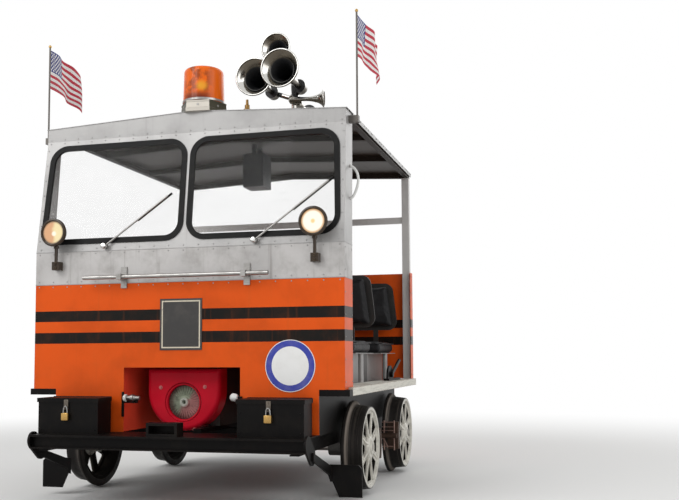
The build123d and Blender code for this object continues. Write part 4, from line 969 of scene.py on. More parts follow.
NODE_FINISHES = {
    "beacon_base": BASE_PLATE,
    "cowl_panel": Enamel("cowl_paint", (0.50, 0.485, 0.475), (0.16, 0.14, 0.12), 0.42, metal=0.3,
                         chip=0.4, dust=1.4, streak=0.5, dust_colour=(0.17, 0.155, 0.14),
                         shine=0.2),
    "seat_frames": Enamel("shell_paint", (0.030, 0.029, 0.028), (0.16, 0.14, 0.12), 0.4, chip=0.3,
                          dust=0.2, streak=0.1, shine=0.15),
    "brake_rigging": RUSTY_IRON,
    # Painted light: a lighter copy of the silver paint for the rear posts, which stand in shade.
    "rear_frame": Enamel("post_paint_painted_lighter", (0.56, 0.55, 0.535), (0.20, 0.18, 0.16), 0.42, metal=0.1,
                         chip=0.3, dust=0.2, streak=0.3, dust_colour=(0.26, 0.25, 0.24)),
    "horns": HornPlate("horn_plate"),
    "spot_lamps": LAMP_SHELL,
    "flag_poles": DULL_POLE,
    "flywheel": ROTOR,
}


class Paints:
    """Finishes that are built once and shared by the pieces that wear them."""

    def __init__(self) -> None:
        """Start with none built."""
        self._built: dict[str, bpy.types.Material] = {}

    def coat(self, finish: Finish) -> bpy.types.Material:
        """A finish's material, built on first use.

        Args:
            finish: The finish.

        Returns:
            Its material.
        """
        if finish.name not in self._built:
            self._built[finish.name] = finish.build()
        return self._built[finish.name]

    def dress_frame(self) -> None:
        """Give every CAD node its own finish, or else that of its slot."""
        for row in frame["record"]["subparts"]:
            finish = NODE_FINISHES.get(row["node"], FINISHES[Slot(row["material_slot"])])
            for place in frame["nodes"][row["node"]].material_slots:
                place.material = self.coat(finish)


# Camera and studio


@dataclass
class PhotoCamera:
    """The camera that was fitted to the photograph."""

    place: Point = (1.7845, -4.7556, 0.6755)
    yaw: float = 14.87
    pitch: float = 4.14
    roll: float = -0.32
    focal: float = 909.21
    centre_row: float = 290.0
    width: float = 679.0
    height: float = 500.0
    sensor: float = 36.0

    def build(self) -> None:
        """Make the camera and use it."""
        data = bpy.data.cameras.new("photo_camera")
        data.sensor_width = self.sensor
        data.lens = self.focal * self.sensor / self.width
        data.shift_y = (self.centre_row - self.height / 2) / self.width
        data.clip_end = 200.0
        camera = bpy.data.objects.new("photo_camera", data)
        yaw, pitch, roll = (math.radians(v) for v in (self.yaw, self.pitch, self.roll))
        ahead = Vector((-math.sin(yaw) * math.cos(pitch), math.cos(yaw) * math.cos(pitch),
                        math.sin(pitch)))
        level = Vector((math.cos(yaw), math.sin(yaw), 0.0))
        upright = level.cross(ahead)
        right = level * math.cos(roll) + upright * math.sin(roll)
        up = upright * math.cos(roll) - level * math.sin(roll)
        turn = Matrix((right, up, -ahead)).transposed().to_4x4()
        camera.matrix_world = Matrix.Translation(self.place) @ turn
        bpy.context.collection.objects.link(camera)
        bpy.context.scene.camera = camera


@dataclass
class Studio:
    """Plain pale floor, white backdrop and soft lights."""

    floor_size: float = 60.0
    floor_colour: Colour = (0.78, 0.78, 0.77)
    sky_light: float = 0.62
    floor_fade: tuple[float, float] = (2.6, 6.5)
    lamps: tuple[tuple[str, Point, float, float], ...] = (
        ("key", (-3.2, -5.5, 5.2), 4.0, 210.0),
        ("fill", (5.5, -3.0, 3.2), 4.0, 90.0),
        ("back", (1.5, 6.0, 4.5), 5.0, 90.0))
    aim: Point = (0.0, 0.0, 1.0)

    def build(self) -> None:
        """Make the floor, the world and the lamps."""
        bpy.context.scene.view_settings.view_transform = "Standard"
        Bench.clear()
        bpy.ops.mesh.primitive_plane_add(size=self.floor_size)
        floor = bpy.context.object
        floor.name = "floor"
        floor.data.materials.append(self._floor_material())
        self._world()
        for lamp in self.lamps:
            self._lamp(*lamp)

    def _floor_material(self) -> bpy.types.Material:
        """Pale floor that keeps the car's shadow and fades to white far from it.

        Returns:
            The floor's material.
        """
        g = Graph("pale_floor")
        x, y, _ = g.axes()
        away = distance(x, y).smooth(*self.floor_fade)
        g.surface(Base_Color=self.floor_colour, Roughness=0.9)
        white = g.node("ShaderNodeEmission", None, {"Color": (1.0, 1.0, 1.0), "Strength": 1.0})
        mix = g.node("ShaderNodeMixShader")
        for index, source in enumerate((away * g.shown(), g.shader.outputs[0], white.outputs[0])):
            g.feed(mix.inputs[index], source)
        g.feed(g.tree.nodes["Material Output"].inputs[0], mix.outputs[0])
        return g.material

    def _world(self) -> None:
        """White to the camera and in reflections, plain soft light to the rest."""
        world = bpy.data.worlds.new("studio")
        bpy.context.scene.world = world
        world.use_nodes = True
        tree = Nodes(world.node_tree)
        level = tree.node("ShaderNodeMapRange", None, {
            "Value": tree.shown(), "To Min": self.sky_light, "To Max": 1.0})
        sky = world.node_tree.nodes["Background"]
        tree.feed(sky.inputs["Strength"], level.outputs["Result"])
        tree.feed(sky.inputs["Color"], (1.0, 1.0, 1.0))

    def _lamp(self, name: str, place: Point, size: float, power: float) -> None:
        """Soft square lamp that looks at the middle of the car.

        Args:
            name: Its name.
            place: Its centre.
            size: Side of the square.
            power: Watts.
        """
        data = bpy.data.lights.new(name, "AREA")
        data.energy, data.size = power, size
        lamp = bpy.data.objects.new(name, data)
        lamp.location = place
        aim = Vector(self.aim) - Vector(place)
        lamp.rotation_euler = aim.to_track_quat("-Z", "Y").to_euler()
        bpy.context.collection.objects.link(lamp)


# Modelling steps


class Bench:
    """Modelling steps, as done by hand."""

    @staticmethod
    def clear() -> None:
        """Leave nothing selected, in object mode."""
        if bpy.context.object and bpy.context.object.mode != "OBJECT":
            bpy.ops.object.mode_set(mode="OBJECT")
        bpy.ops.object.select_all(action="DESELECT")

    @staticmethod
    def only(piece: bpy.types.Object) -> None:
        """Select one piece alone and make it active.

        Args:
            piece: The piece.
        """
        Bench.clear()
        piece.select_set(True)
        bpy.context.view_layer.objects.active = piece

    @staticmethod
    def settle(piece: bpy.types.Object) -> bpy.types.Object:
        """Put a piece's place, turn and size into its mesh.

        Args:
            piece: The piece.

        Returns:
            The same piece.
        """
        Bench.only(piece)
        bpy.ops.object.transform_apply(location=True, rotation=True, scale=True)
        return piece

    @staticmethod
    def modify(piece: bpy.types.Object, kind: str, **settings: object) -> bpy.types.Object:
        """Add a modifier and apply it.

        Args:
            piece: The piece.
            kind: The modifier's type.
            settings: The modifier's settings.

        Returns:
            The same piece.
        """
        Bench.only(piece)
        modifier = piece.modifiers.new(kind.lower(), kind)
        for key, value in settings.items():
            setattr(modifier, key, value)
        bpy.ops.object.modifier_apply(modifier=modifier.name)
        return piece

    @staticmethod
    def soften(piece: bpy.types.Object, angle: float = 35.0) -> bpy.types.Object:
        """Shade smooth where faces meet at less than an angle.

        Args:
            piece: The piece.
            angle: The angle in degrees.

        Returns:
            The same piece.
        """
        Bench.only(piece)
        bpy.ops.object.shade_smooth_by_angle(angle=math.radians(angle))
        return piece

    @staticmethod
    def chain(points: Iterable[Point], closed: bool = False) -> bpy.types.Object:
        """Draw a line of vertices by extruding one vertex from point to point.

        Args:
            points: The points, in metres.
            closed: Whether the last point joins the first with a face.

        Returns:
            The object, left in edit mode.
        """
        points = [Vector(point) for point in points]
        Bench.clear()
        bpy.ops.mesh.primitive_plane_add(size=0.001, location=points[0])
        piece = bpy.context.object
        bpy.ops.object.transform_apply(location=True)
        bpy.ops.object.mode_set(mode="EDIT")
        bpy.ops.mesh.merge(type="CENTER")
        for start, end in zip(points, points[1:]):
            bpy.ops.mesh.extrude_vertices_move(
                TRANSFORM_OT_translate={"value": tuple(end - start)})
        if closed:
            bpy.ops.mesh.select_all(action="SELECT")
            bpy.ops.mesh.edge_face_add()
        return piece

    @staticmethod
    def align(piece: bpy.types.Object, place: Point, axis: Point) -> bpy.types.Object:
        """Turn the Z of a piece at the origin to an axis and move it, all within its mesh."""
        piece.matrix_world = Bench.stand(place, axis)
        return Bench.settle(piece)

    @staticmethod
    def stand(place: Point, axis: Point) -> Matrix:
        """Matrix that turns Z to an axis and moves the origin to a place."""
        turn = Vector(axis).to_track_quat("Z", "Y").to_matrix().to_4x4()
        return Matrix.Translation(place) @ turn

    @staticmethod
    def turned(profile: Sequence[tuple[float, float]], place: Point, axis: Point,
               steps: int = 32) -> bpy.types.Object:
        """Turn a profile about an axis, as on a lathe.

        Args:
            profile: Radius and distance along the axis of each point.
            place: Where the axis starts.
            axis: Its direction.
            steps: Faces around.

        Returns:
            The turned piece.
        """
        piece = Bench.chain([(radius, 0.0, along) for radius, along in profile])
        bpy.ops.mesh.select_all(action="SELECT")
        bpy.ops.mesh.spin(steps=steps, angle=math.tau, center=(0, 0, 0), axis=(0, 0, 1))
        bpy.ops.mesh.select_all(action="SELECT")
        bpy.ops.mesh.remove_doubles(threshold=0.00002)
        bpy.ops.mesh.normals_make_consistent(inside=False)
        bpy.ops.object.mode_set(mode="OBJECT")
        return Bench.soften(Bench.align(piece, place, axis))

    @staticmethod
    def prism(outline: Sequence[Point], depth: Point, edge: float = 0.0) -> bpy.types.Object:
        """Plate with a drawn outline and a thickness.

        Args:
            outline: Its corners, in metres.
            depth: The way and the distance that it is extruded.
            edge: Width of its bevelled edges.

        Returns:
            The plate.
        """
        piece = Bench.chain(outline, closed=True)
        bpy.ops.mesh.extrude_region_move(TRANSFORM_OT_translate={"value": depth})
        bpy.ops.mesh.select_all(action="SELECT")
        bpy.ops.mesh.normals_make_consistent(inside=False)
        bpy.ops.object.mode_set(mode="OBJECT")
        if edge:
            Bench.modify(piece, "BEVEL", width=edge, segments=2, limit_method="ANGLE")
        return Bench.soften(piece)

    @staticmethod
    def block(low: Point, high: Point, edge: float = 0.001) -> bpy.types.Object:
        """Bevelled block.

        Args:
            low: Its lowest corner.
            high: Its highest corner.
            edge: Width of its bevelled edges.

        Returns:
            The block.
        """
        x0, y0, z0 = low
        x1, y1, z1 = high
        outline = [(x0, y0, z0), (x1, y0, z0), (x1, y1, z0), (x0, y1, z0)]
        return Bench.prism(outline, (0.0, 0.0, z1 - z0), edge)

    @staticmethod
    def bar(points: Sequence[Point], radius: float, round_bends: bool = True) -> bpy.types.Object:
        """Round bar or wire through points.

        Args:
            points: Its path.
            radius: Its radius.
            round_bends: Whether the path runs on a smooth spline.

        Returns:
            The bar as a mesh.
        """
        data = bpy.data.curves.new("bar", "CURVE")
        data.dimensions = "3D"
        data.bevel_depth, data.bevel_resolution = radius, 3
        data.use_fill_caps = True
        spline = data.splines.new("NURBS" if round_bends else "POLY")
        spline.points.add(len(points) - 1)
        for point, place in zip(spline.points, points):
            point.co = (*place, 1.0)
        if round_bends:
            spline.order_u = 3
            spline.use_endpoint_u = True
            spline.resolution_u = 8
        piece = bpy.data.objects.new("bar", data)
        bpy.context.collection.objects.link(piece)
        Bench.only(piece)
        bpy.ops.object.convert(target="MESH")
        return Bench.soften(bpy.context.object)

    @staticmethod
    def copies(model: bpy.types.Object, places: Iterable[Matrix]) -> bpy.types.Object:
        """Copy a model to several places and join the copies.

        Args:
            model: The model, which is used up.
            places: Where each copy goes.

        Returns:
            One piece that holds every copy.
        """
        made = []
        for place in places:
            twin = model.copy()
            twin.data = model.data.copy()
            twin.data.transform(place)
            bpy.context.collection.objects.link(twin)
            made.append(twin)
        bpy.data.objects.remove(model)
        return Bench.join(made)

    @staticmethod
    def join(made: Sequence[bpy.types.Object]) -> bpy.types.Object:
        """Join several pieces into one.

        Args:
            made: The pieces.

        Returns:
            The first of them, which holds them all.
        """
        Bench.clear()
        for piece in made:
            piece.select_set(True)
        bpy.context.view_layer.objects.active = made[0]
        if len(made) > 1:
            bpy.ops.object.join()
        return bpy.context.object

    @staticmethod
    def rivet(radius: float = 0.0035, height: float = 0.0022) -> bpy.types.Object:
        """Low dome about the origin along Z, with a few dozen faces.

        Args:
            radius: Its radius.
            height: How far it stands up.

        Returns:
            The rivet's head.
        """
        Bench.clear()
        bpy.ops.mesh.primitive_uv_sphere_add(segments=8, ring_count=6, radius=radius)
        piece = bpy.context.object
        bpy.ops.object.mode_set(mode="EDIT")
        bpy.ops.mesh.select_all(action="SELECT")
        bpy.ops.mesh.bisect(plane_co=(0, 0, -radius * 0.1), plane_no=(0, 0, 1), clear_inner=True)
        bpy.ops.mesh.select_all(action="SELECT")
        bpy.ops.transform.resize(value=(1.0, 1.0, height / radius))
        bpy.ops.object.mode_set(mode="OBJECT")
        return Bench.soften(piece, 60.0)

    @staticmethod
    def bolt(radius: float = 0.006, height: float = 0.005) -> bpy.types.Object:
        """Hexagon head on a washer about the origin along Z.

        Args:
            radius: Half the width over the head's corners.
            height: The head's height.

        Returns:
            The bolt as it shows.
        """
        Bench.clear()
        bpy.ops.mesh.primitive_cylinder_add(
            vertices=6, radius=radius, depth=height, location=(0, 0, height / 2 + 0.0012))
        head = bpy.context.object
        Bench.modify(Bench.settle(head), "BEVEL", width=height * 0.18, segments=1)
        Bench.clear()
        bpy.ops.mesh.primitive_cylinder_add(
            vertices=16, radius=radius * 1.5, depth=0.0016, location=(0, 0, 0.0006))
        washer = bpy.context.object
        Bench.modify(Bench.settle(washer), "BEVEL", width=0.0004, segments=1)
        return Bench.join([head, washer])


class Assembly:
    """A group of pieces that share the car's finishes."""

    def __init__(self, paints: Paints) -> None:
        """Keep the finishes."""
        self.paints = paints

    def deliver(self, piece: bpy.types.Object, name: str, slot: Slot, body: str = CAR,
                finish: Optional[Finish] = None) -> bpy.types.Object:
        """Name a finished piece, dress it and let it ride on its body.

        Args:
            piece: The piece.
            name: Its name.
            slot: The record's material slot.
            body: The CAD body that it moves with.
            finish: A finish other than the slot's own.

        Returns:
            The same piece.
        """
        piece.name = name
        piece.data.materials.clear()
        piece.data.materials.append(self.paints.coat(finish or FINISHES[slot]))
        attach(piece, body)
        log.info("%s on %s", name, body)
        return piece


# Pieces of the car


def rake_y(z: float) -> float:
    """Y of the windscreen frame's outer face at a height."""
    return PANEL_Y + RAKE_RUN * (z - RAKE_FOOT) / RAKE_RISE


def spread(start: float, end: float, step: float) -> list[float]:
    """Evenly spaced places from start to end, about a step apart."""
    count = max(1, round(abs(end - start) / step))
    return [start + (end - start) * index / count for index in range(count + 1)]


@dataclass
class BodyTrim:
    """Rivets, seam strips and roof laps of the cab."""

    shop: Assembly
    half: float = 0.776
    corner_gap: float = 0.02
    pitch: float = 0.075
    cowl_rows: tuple[float, ...] = (1.013, 1.038, 1.172)
    frame_rows: tuple[float, ...] = (1.196, 1.736)
    frame_half: float = 0.75
    post_x: float = 0.764
    post_rows: tuple[float, float] = (1.24, 1.70)
    post_lean: float = 0.012
    post_foot: float = 1.2
    fascia: tuple[float, float] = (-0.797, 1.755)
    front_columns: tuple[float, ...] = (-0.855, -0.737)
    rear_columns: tuple[float, ...] = (0.752, 0.795)
    column_rows: tuple[float, float] = (0.56, 1.16)
    column_pitch: float = 0.1
    rear_rows: tuple[float, ...] = (0.55, 1.168)
    rear_half: float = 0.76
    seams: tuple[tuple[float, float], ...] = ((1.023, 0.0016), (1.181, 0.0014))
    seam_width: float = 0.004
    seam_end: float = 0.144
    roof_half: float = 0.7745
    roof_edge_rivets: tuple[float, float, float] = (-0.78, 0.78, 0.12)
    lap_edge_rivets: tuple[float, float, float] = (-0.64, 0.79, 0.09)
    laps: tuple[float, ...] = (-0.27, 0.265)
    lap_width: float = 0.03
    lap_half: float = 0.768
    lap_edge: float = 1.8115
    lap_ridge: float = 1.8505
    lap_thick: float = 0.002
    lap_rivet_half: float = 0.74
    lap_rivet_ridge: float = 1.852
    roof_slope: float = 0.0508

    def build(self) -> None:
        """Make the rivet rows and the seams."""
        places = []
        for z in self.cowl_rows:
            places += self._across(self.half - self.corner_gap, PANEL_Y, z, FORWARD)
        for z in self.frame_rows:
            places += self._across(self.frame_half, rake_y(z), z, RAKE_OUT)
        for x in (-self.post_x, self.post_x):
            places += [Bench.stand((x * (1 - self.post_lean * (z - self.post_foot)), rake_y(z), z),
                                   RAKE_OUT) for z in spread(*self.post_rows, self.pitch)]
        places += self._across(self.frame_half, *self.fascia, FORWARD)
        column = spread(*self.column_rows, self.column_pitch)
        for side in (-1, 1):
            places += self._outwards(side * self.half, self.front_columns, column)
            places += self._outwards(side * self.roof_half, spread(*self.roof_edge_rivets),
                                     [ROOF_EDGE_Z])
            places += self._outwards(side * self.half, self.rear_columns, column)
        for z in self.rear_rows:
            places += self._across(self.rear_half, BACK_Y, z, REARWARD)
        self.shop.deliver(Bench.copies(Bench.rivet(), places), "body_rivets", Slot.BODY_SILVER)
        self._seams()
        self._roof_seams()

    def _across(self, half: float, y: float, z: float, facing: Point) -> list[Matrix]:
        """Places of one row of rivets from side to side."""
        return [Bench.stand((x, y, z), facing) for x in spread(-half, half, self.pitch)]

    @staticmethod
    def _outwards(x: float, columns: Sequence[float], rows: Sequence[float]) -> list[Matrix]:
        """Places of rivets that face away from the car's middle."""
        facing = (math.copysign(1.0, x), 0.0, 0.0)
        return [Bench.stand((x, y, z), facing) for y in columns for z in rows]

    def _seams(self) -> None:
        """Thin lap strips along the cowl's lower and upper edges."""
        strips = []
        for z, depth in self.seams:
            top = z + self.seam_width
            strips.append(Bench.block((-self.half - 0.0005, PANEL_Y - depth, z),
                                      (self.half + 0.0005, PANEL_Y + 0.001, top), 0.0005))
            for side in (-1, 1):
                low, high = sorted((side * (self.half - 0.001), side * (self.half + depth)))
                strips.append(Bench.block((low, PANEL_Y, z),
                                          (high, PANEL_Y + self.seam_end, top), 0.0005))
        self.shop.deliver(Bench.join(strips), "cowl_seams", Slot.BODY_SILVER)

    def _roof_seams(self) -> None:
        """Cross laps and their rivets on the roof sheet, and the rivets of its side edges."""
        laps, places = [], []
        for y in self.laps:
            lower = [(-self.lap_half, y, self.lap_edge), (0.0, y, self.lap_ridge),
                     (self.lap_half, y, self.lap_edge)]
            upper = [(x, along, z + self.lap_thick) for x, along, z in reversed(lower)]
            laps.append(Bench.prism(lower + upper, (0.0, self.lap_width, 0.0)))
            middle = y + self.lap_width / 2
            for x in spread(-self.lap_rivet_half, self.lap_rivet_half, self.pitch):
                z = self.lap_rivet_ridge - self.roof_slope * abs(x)
                places.append(Bench.stand((x, middle, z), UPWARD))
        for side in (-1, 1):
            places += self._outwards(side * self.roof_half, spread(*self.lap_edge_rivets),
                                     [ROOF_EDGE_Z])
        rivets = Bench.copies(Bench.rivet(), places)
        self.shop.deliver(Bench.join(laps + [rivets]), "roof_laps", Slot.ROOF_SILVER)


@dataclass
class Wheels:
    """Cast wheels with lipped openings and a rib on each spoke, fitted on the CAD axles."""

    shop: Assembly
    width: float = 0.098
    openings: int = 8
    opening: tuple[float, float] = (0.079, 0.163)
    half_widths: tuple[float, float] = (0.0115, 0.043)
    lip: float = 0.004
    web: float = 0.087
    rib_half: float = 0.0045
    corner: float = 0.009
    steps: int = 96

    def build(self) -> None:
        """Make the two wheels of each wheelset."""
        for end, body, y in zip(("front", "rear"), (FRONT_WHEELS, REAR_WHEELS), AXLE_Y):
            places = [Bench.stand((side * FLANGE_BACK, y, AXLE_Z), (side, 0, 0))
                      for side in (1, -1)]
            pair = Bench.copies(self._casting(), places)
            self.shop.deliver(pair, f"{end}_wheel_castings", Slot.WHEEL_SILVER, body)
            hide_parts(f"{end}_wheels")

    def _casting(self) -> bpy.types.Object:
        """One wheel about Z, its flange back at the origin.

        Returns:
            The wheel.
        """
        face, web = self.width, self.web
        profile = [
            (0.0191, 0.014), (0.050, 0.014), (0.052, web - 0.022), (0.062, web - 0.018),
            (0.170, web - 0.014), (0.176, web - 0.020), (0.179, 0.002), (0.181, 0.0),
            (0.222, 0.0), (0.2265, 0.0015), (0.228, 0.005), (0.2275, 0.010), (0.225, 0.018),
            (0.218, 0.0235), (0.210, 0.0265), (0.2065, 0.0310), (0.2030, 0.062),
            (0.1992, face - 0.005), (0.1978, face - 0.0015), (0.1955, face), (0.1835, face),
            (0.1812, face - 0.0012), (0.1790, web + 0.0020), (0.1765, web), (0.100, web - 0.002),
            (0.062, web - 0.004), (0.056, web - 0.001), (0.052, face - 0.002),
            (0.048, face + 0.001), (0.034, face + 0.002), (0.031, face + 0.008),
            (0.028, face + 0.0095), (0.0215, face + 0.0095), (0.0191, face + 0.0075),
            (0.0191, 0.014)]
        wheel = Bench.turned(profile, (0.0, 0.0, 0.0), UPWARD, self.steps)
        low, high = self.opening
        near, far = self.half_widths
        lips = self._around(self._sector(low - self.lip, high + self.lip, near + self.lip,
                                         far + self.lip, web - 0.010, web + 0.0025), 0.0)
        ribs = self._around(Bench.prism(
            [(0.046, -self.rib_half, web - 0.010), (0.046, -self.rib_half, face),
             (0.086, -self.rib_half, web + 0.0040), (0.1800, -self.rib_half, web + 0.0036),
             (0.1800, -self.rib_half, web - 0.010)], (0.0, 2 * self.rib_half, 0.0), 0.0015), 0.5)
        cutter = self._around(self._sector(low, high, near, far, -0.02, face + 0.02), 0.0)
        for tool, operation in ((lips, "UNION"), (ribs, "UNION"), (cutter, "DIFFERENCE")):
            Bench.modify(wheel, "BOOLEAN", object=tool, operation=operation, solver="EXACT")
            bpy.data.objects.remove(tool)
        return Bench.soften(wheel, 32.0)

    def _sector(self, low: float, high: float, near: float, far: float, start: float,
                end: float) -> bpy.types.Object:
        """Rounded wedge between two radii, with its half widths there, and two places along Z."""
        outline = [(low, -near, start), (high, -far, start), (high, far, start), (low, near, start)]
        return self._rounded(Bench.prism(outline, (0.0, 0.0, end - start)))

    def _rounded(self, wedge: bpy.types.Object) -> bpy.types.Object:
        """Round a wedge's four edges along the axle.

        Args:
            wedge: The wedge.

        Returns:
            The same wedge.
        """
        Bench.only(wedge)
        bpy.ops.object.mode_set(mode="EDIT")
        bpy.ops.mesh.select_all(action="DESELECT")
        bpy.ops.object.mode_set(mode="OBJECT")
        mesh = wedge.data
        for edge in mesh.edges:
            start, end = (mesh.vertices[index].co for index in edge.vertices)
            edge.select = abs(end.z - start.z) > abs(end.x - start.x) + abs(end.y - start.y)
        bpy.ops.object.mode_set(mode="EDIT")
        bpy.ops.mesh.select_mode(type="EDGE")
        bpy.ops.mesh.bevel(offset=self.corner, segments=4)
        bpy.ops.mesh.select_mode(type="VERT")
        bpy.ops.object.mode_set(mode="OBJECT")
        return wedge

    def _around(self, model: bpy.types.Object, shift: float) -> bpy.types.Object:
        """Copies of a model round the wheel, one to each opening.

        Args:
            model: The model, which is used up.
            shift: Share of the pitch by which the first is turned.

        Returns:
            One piece that holds every copy.
        """
        pitch = math.tau / self.openings
        return Bench.copies(model, [Matrix.Rotation(pitch * (index + shift), 4, "Z")
                                    for index in range(self.openings)])


@dataclass
class BrakeRods:
    """Hanger straps, rungs and a slack pull rod between the wheels of each side."""

    shop: Assembly
    x: tuple[float, float] = (0.700, 0.757)
    y: float = 0.2898
    z: tuple[float, float] = (0.147, 0.312)
    rungs: tuple[float, ...] = (0.302, 0.276, 0.255, 0.168)
    slack: tuple[tuple[float, float], ...] = ((-0.030, 0.235), (0.010, 0.200), (0.020, 0.162))
    radius: float = 0.0042

    def build(self) -> None:
        """Make the ladder of rods on each side."""
        rods = []
        for side in (-1, 1):
            rods += [Bench.bar([(side * x, self.y, z) for z in self.z], self.radius, False)
                     for x in self.x]
            rods += [Bench.bar([(side * (self.x[0] - 0.012), self.y, z),
                                (side * (self.x[1] + 0.003), self.y, z)], self.radius * 0.8, False)
                     for z in self.rungs]
            rods.append(Bench.bar([(side * (self.x[0] + out), self.y - 0.004, z)
                                   for out, z in self.slack], self.radius * 0.9))
        self.shop.deliver(Bench.join(rods), "brake_rods", Slot.FRAME_BLACK, finish=WORN_RODS)


@dataclass
class PostBows:
    """Bent wire bows to hold on to, one on each windscreen post."""

    shop: Assembly
    radius: float = 0.0062
    y: float = -0.740
    foot: float = 0.7715
    path: tuple[tuple[float, float], ...] = (
        (0.0, 1.548), (0.012, 1.5465), (0.034, 1.520), (0.041, 1.480), (0.032, 1.440),
        (0.012, 1.399), (0.0, 1.3965))

    def build(self) -> None:
        """Make both bows and the bolts at their feet."""
        bows, plates = [], []
        for side in (-1, 1):
            bows.append(Bench.bar([(side * (self.foot + out), self.y, z) for out, z in self.path],
                                  self.radius))
            plates += [Bench.stand((side * (self.foot - 0.0015), self.y, z), (side, 0, 0))
                       for _, z in (self.path[0], self.path[-1])]
        piece = self.shop.deliver(Bench.join(bows), "post_bows", Slot.HANDLE_WHITE)
        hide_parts("post_handles")
        self.shop.deliver(Bench.copies(Bench.bolt(0.0075, 0.004), plates), "bow_feet",
                          Slot.BRIGHT_STEEL)


@dataclass
class ToolboxFittings:
    """Hasp, staple, padlock and rivets of one toolbox."""

    shop: Assembly
    name: str
    lid: str
    centre: float
    front: float = -1.020
    lid_low: float = 0.470
    rivet_half: float = 0.138
    rivet_rows: tuple[float, float] = (0.345, 0.43)

    def build(self) -> None:
        """Make the hasp on the lid and the lock on the box."""
        x, y = self.centre - 0.006, self.front
        hasp = Bench.block((x - 0.011, y - 0.0075, self.lid_low - 0.034),
                           (x + 0.011, y - 0.0050, self.lid_low + 0.012), 0.0008)
        eyes = [Bench.stand((x, y - 0.0075, self.lid_low + 0.006), FORWARD)]
        self.shop.deliver(Bench.join([hasp, Bench.copies(Bench.rivet(0.003, 0.002), eyes)]),
                          f"{self.name}_hasp", Slot.BRIGHT_STEEL, self.lid, DARK_FITTING)
        z = self.lid_low - 0.030
        staple = Bench.bar([(x - 0.006, y + 0.001, z), (x - 0.006, y - 0.016, z),
                            (x + 0.006, y - 0.016, z), (x + 0.006, y + 0.001, z)], 0.0022)
        self.shop.deliver(staple, f"{self.name}_staple", Slot.BRIGHT_STEEL, finish=DARK_FITTING)
        shackle = Bench.bar([(x + across, y - 0.012, z + up) for across, up in (
            (-0.010, -0.022), (-0.010, 0.004), (0.0, 0.014), (0.010, 0.004), (0.010, -0.022))],
            0.0028)
        self.shop.deliver(shackle, f"{self.name}_shackle", Slot.BRIGHT_STEEL)
        case = Bench.block((x - 0.017, y - 0.021, z - 0.052), (x + 0.017, y - 0.004, z - 0.018),
                           0.003)
        self.shop.deliver(case, f"{self.name}_padlock", Slot.CHROME, finish=BRASS)
        places = [Bench.stand((self.centre + side * self.rivet_half, y, row), FORWARD)
                  for side in (-1, 1) for row in self.rivet_rows]
        self.shop.deliver(Bench.copies(Bench.rivet(), places), f"{self.name}_rivets",
                          Slot.FRAME_BLACK)


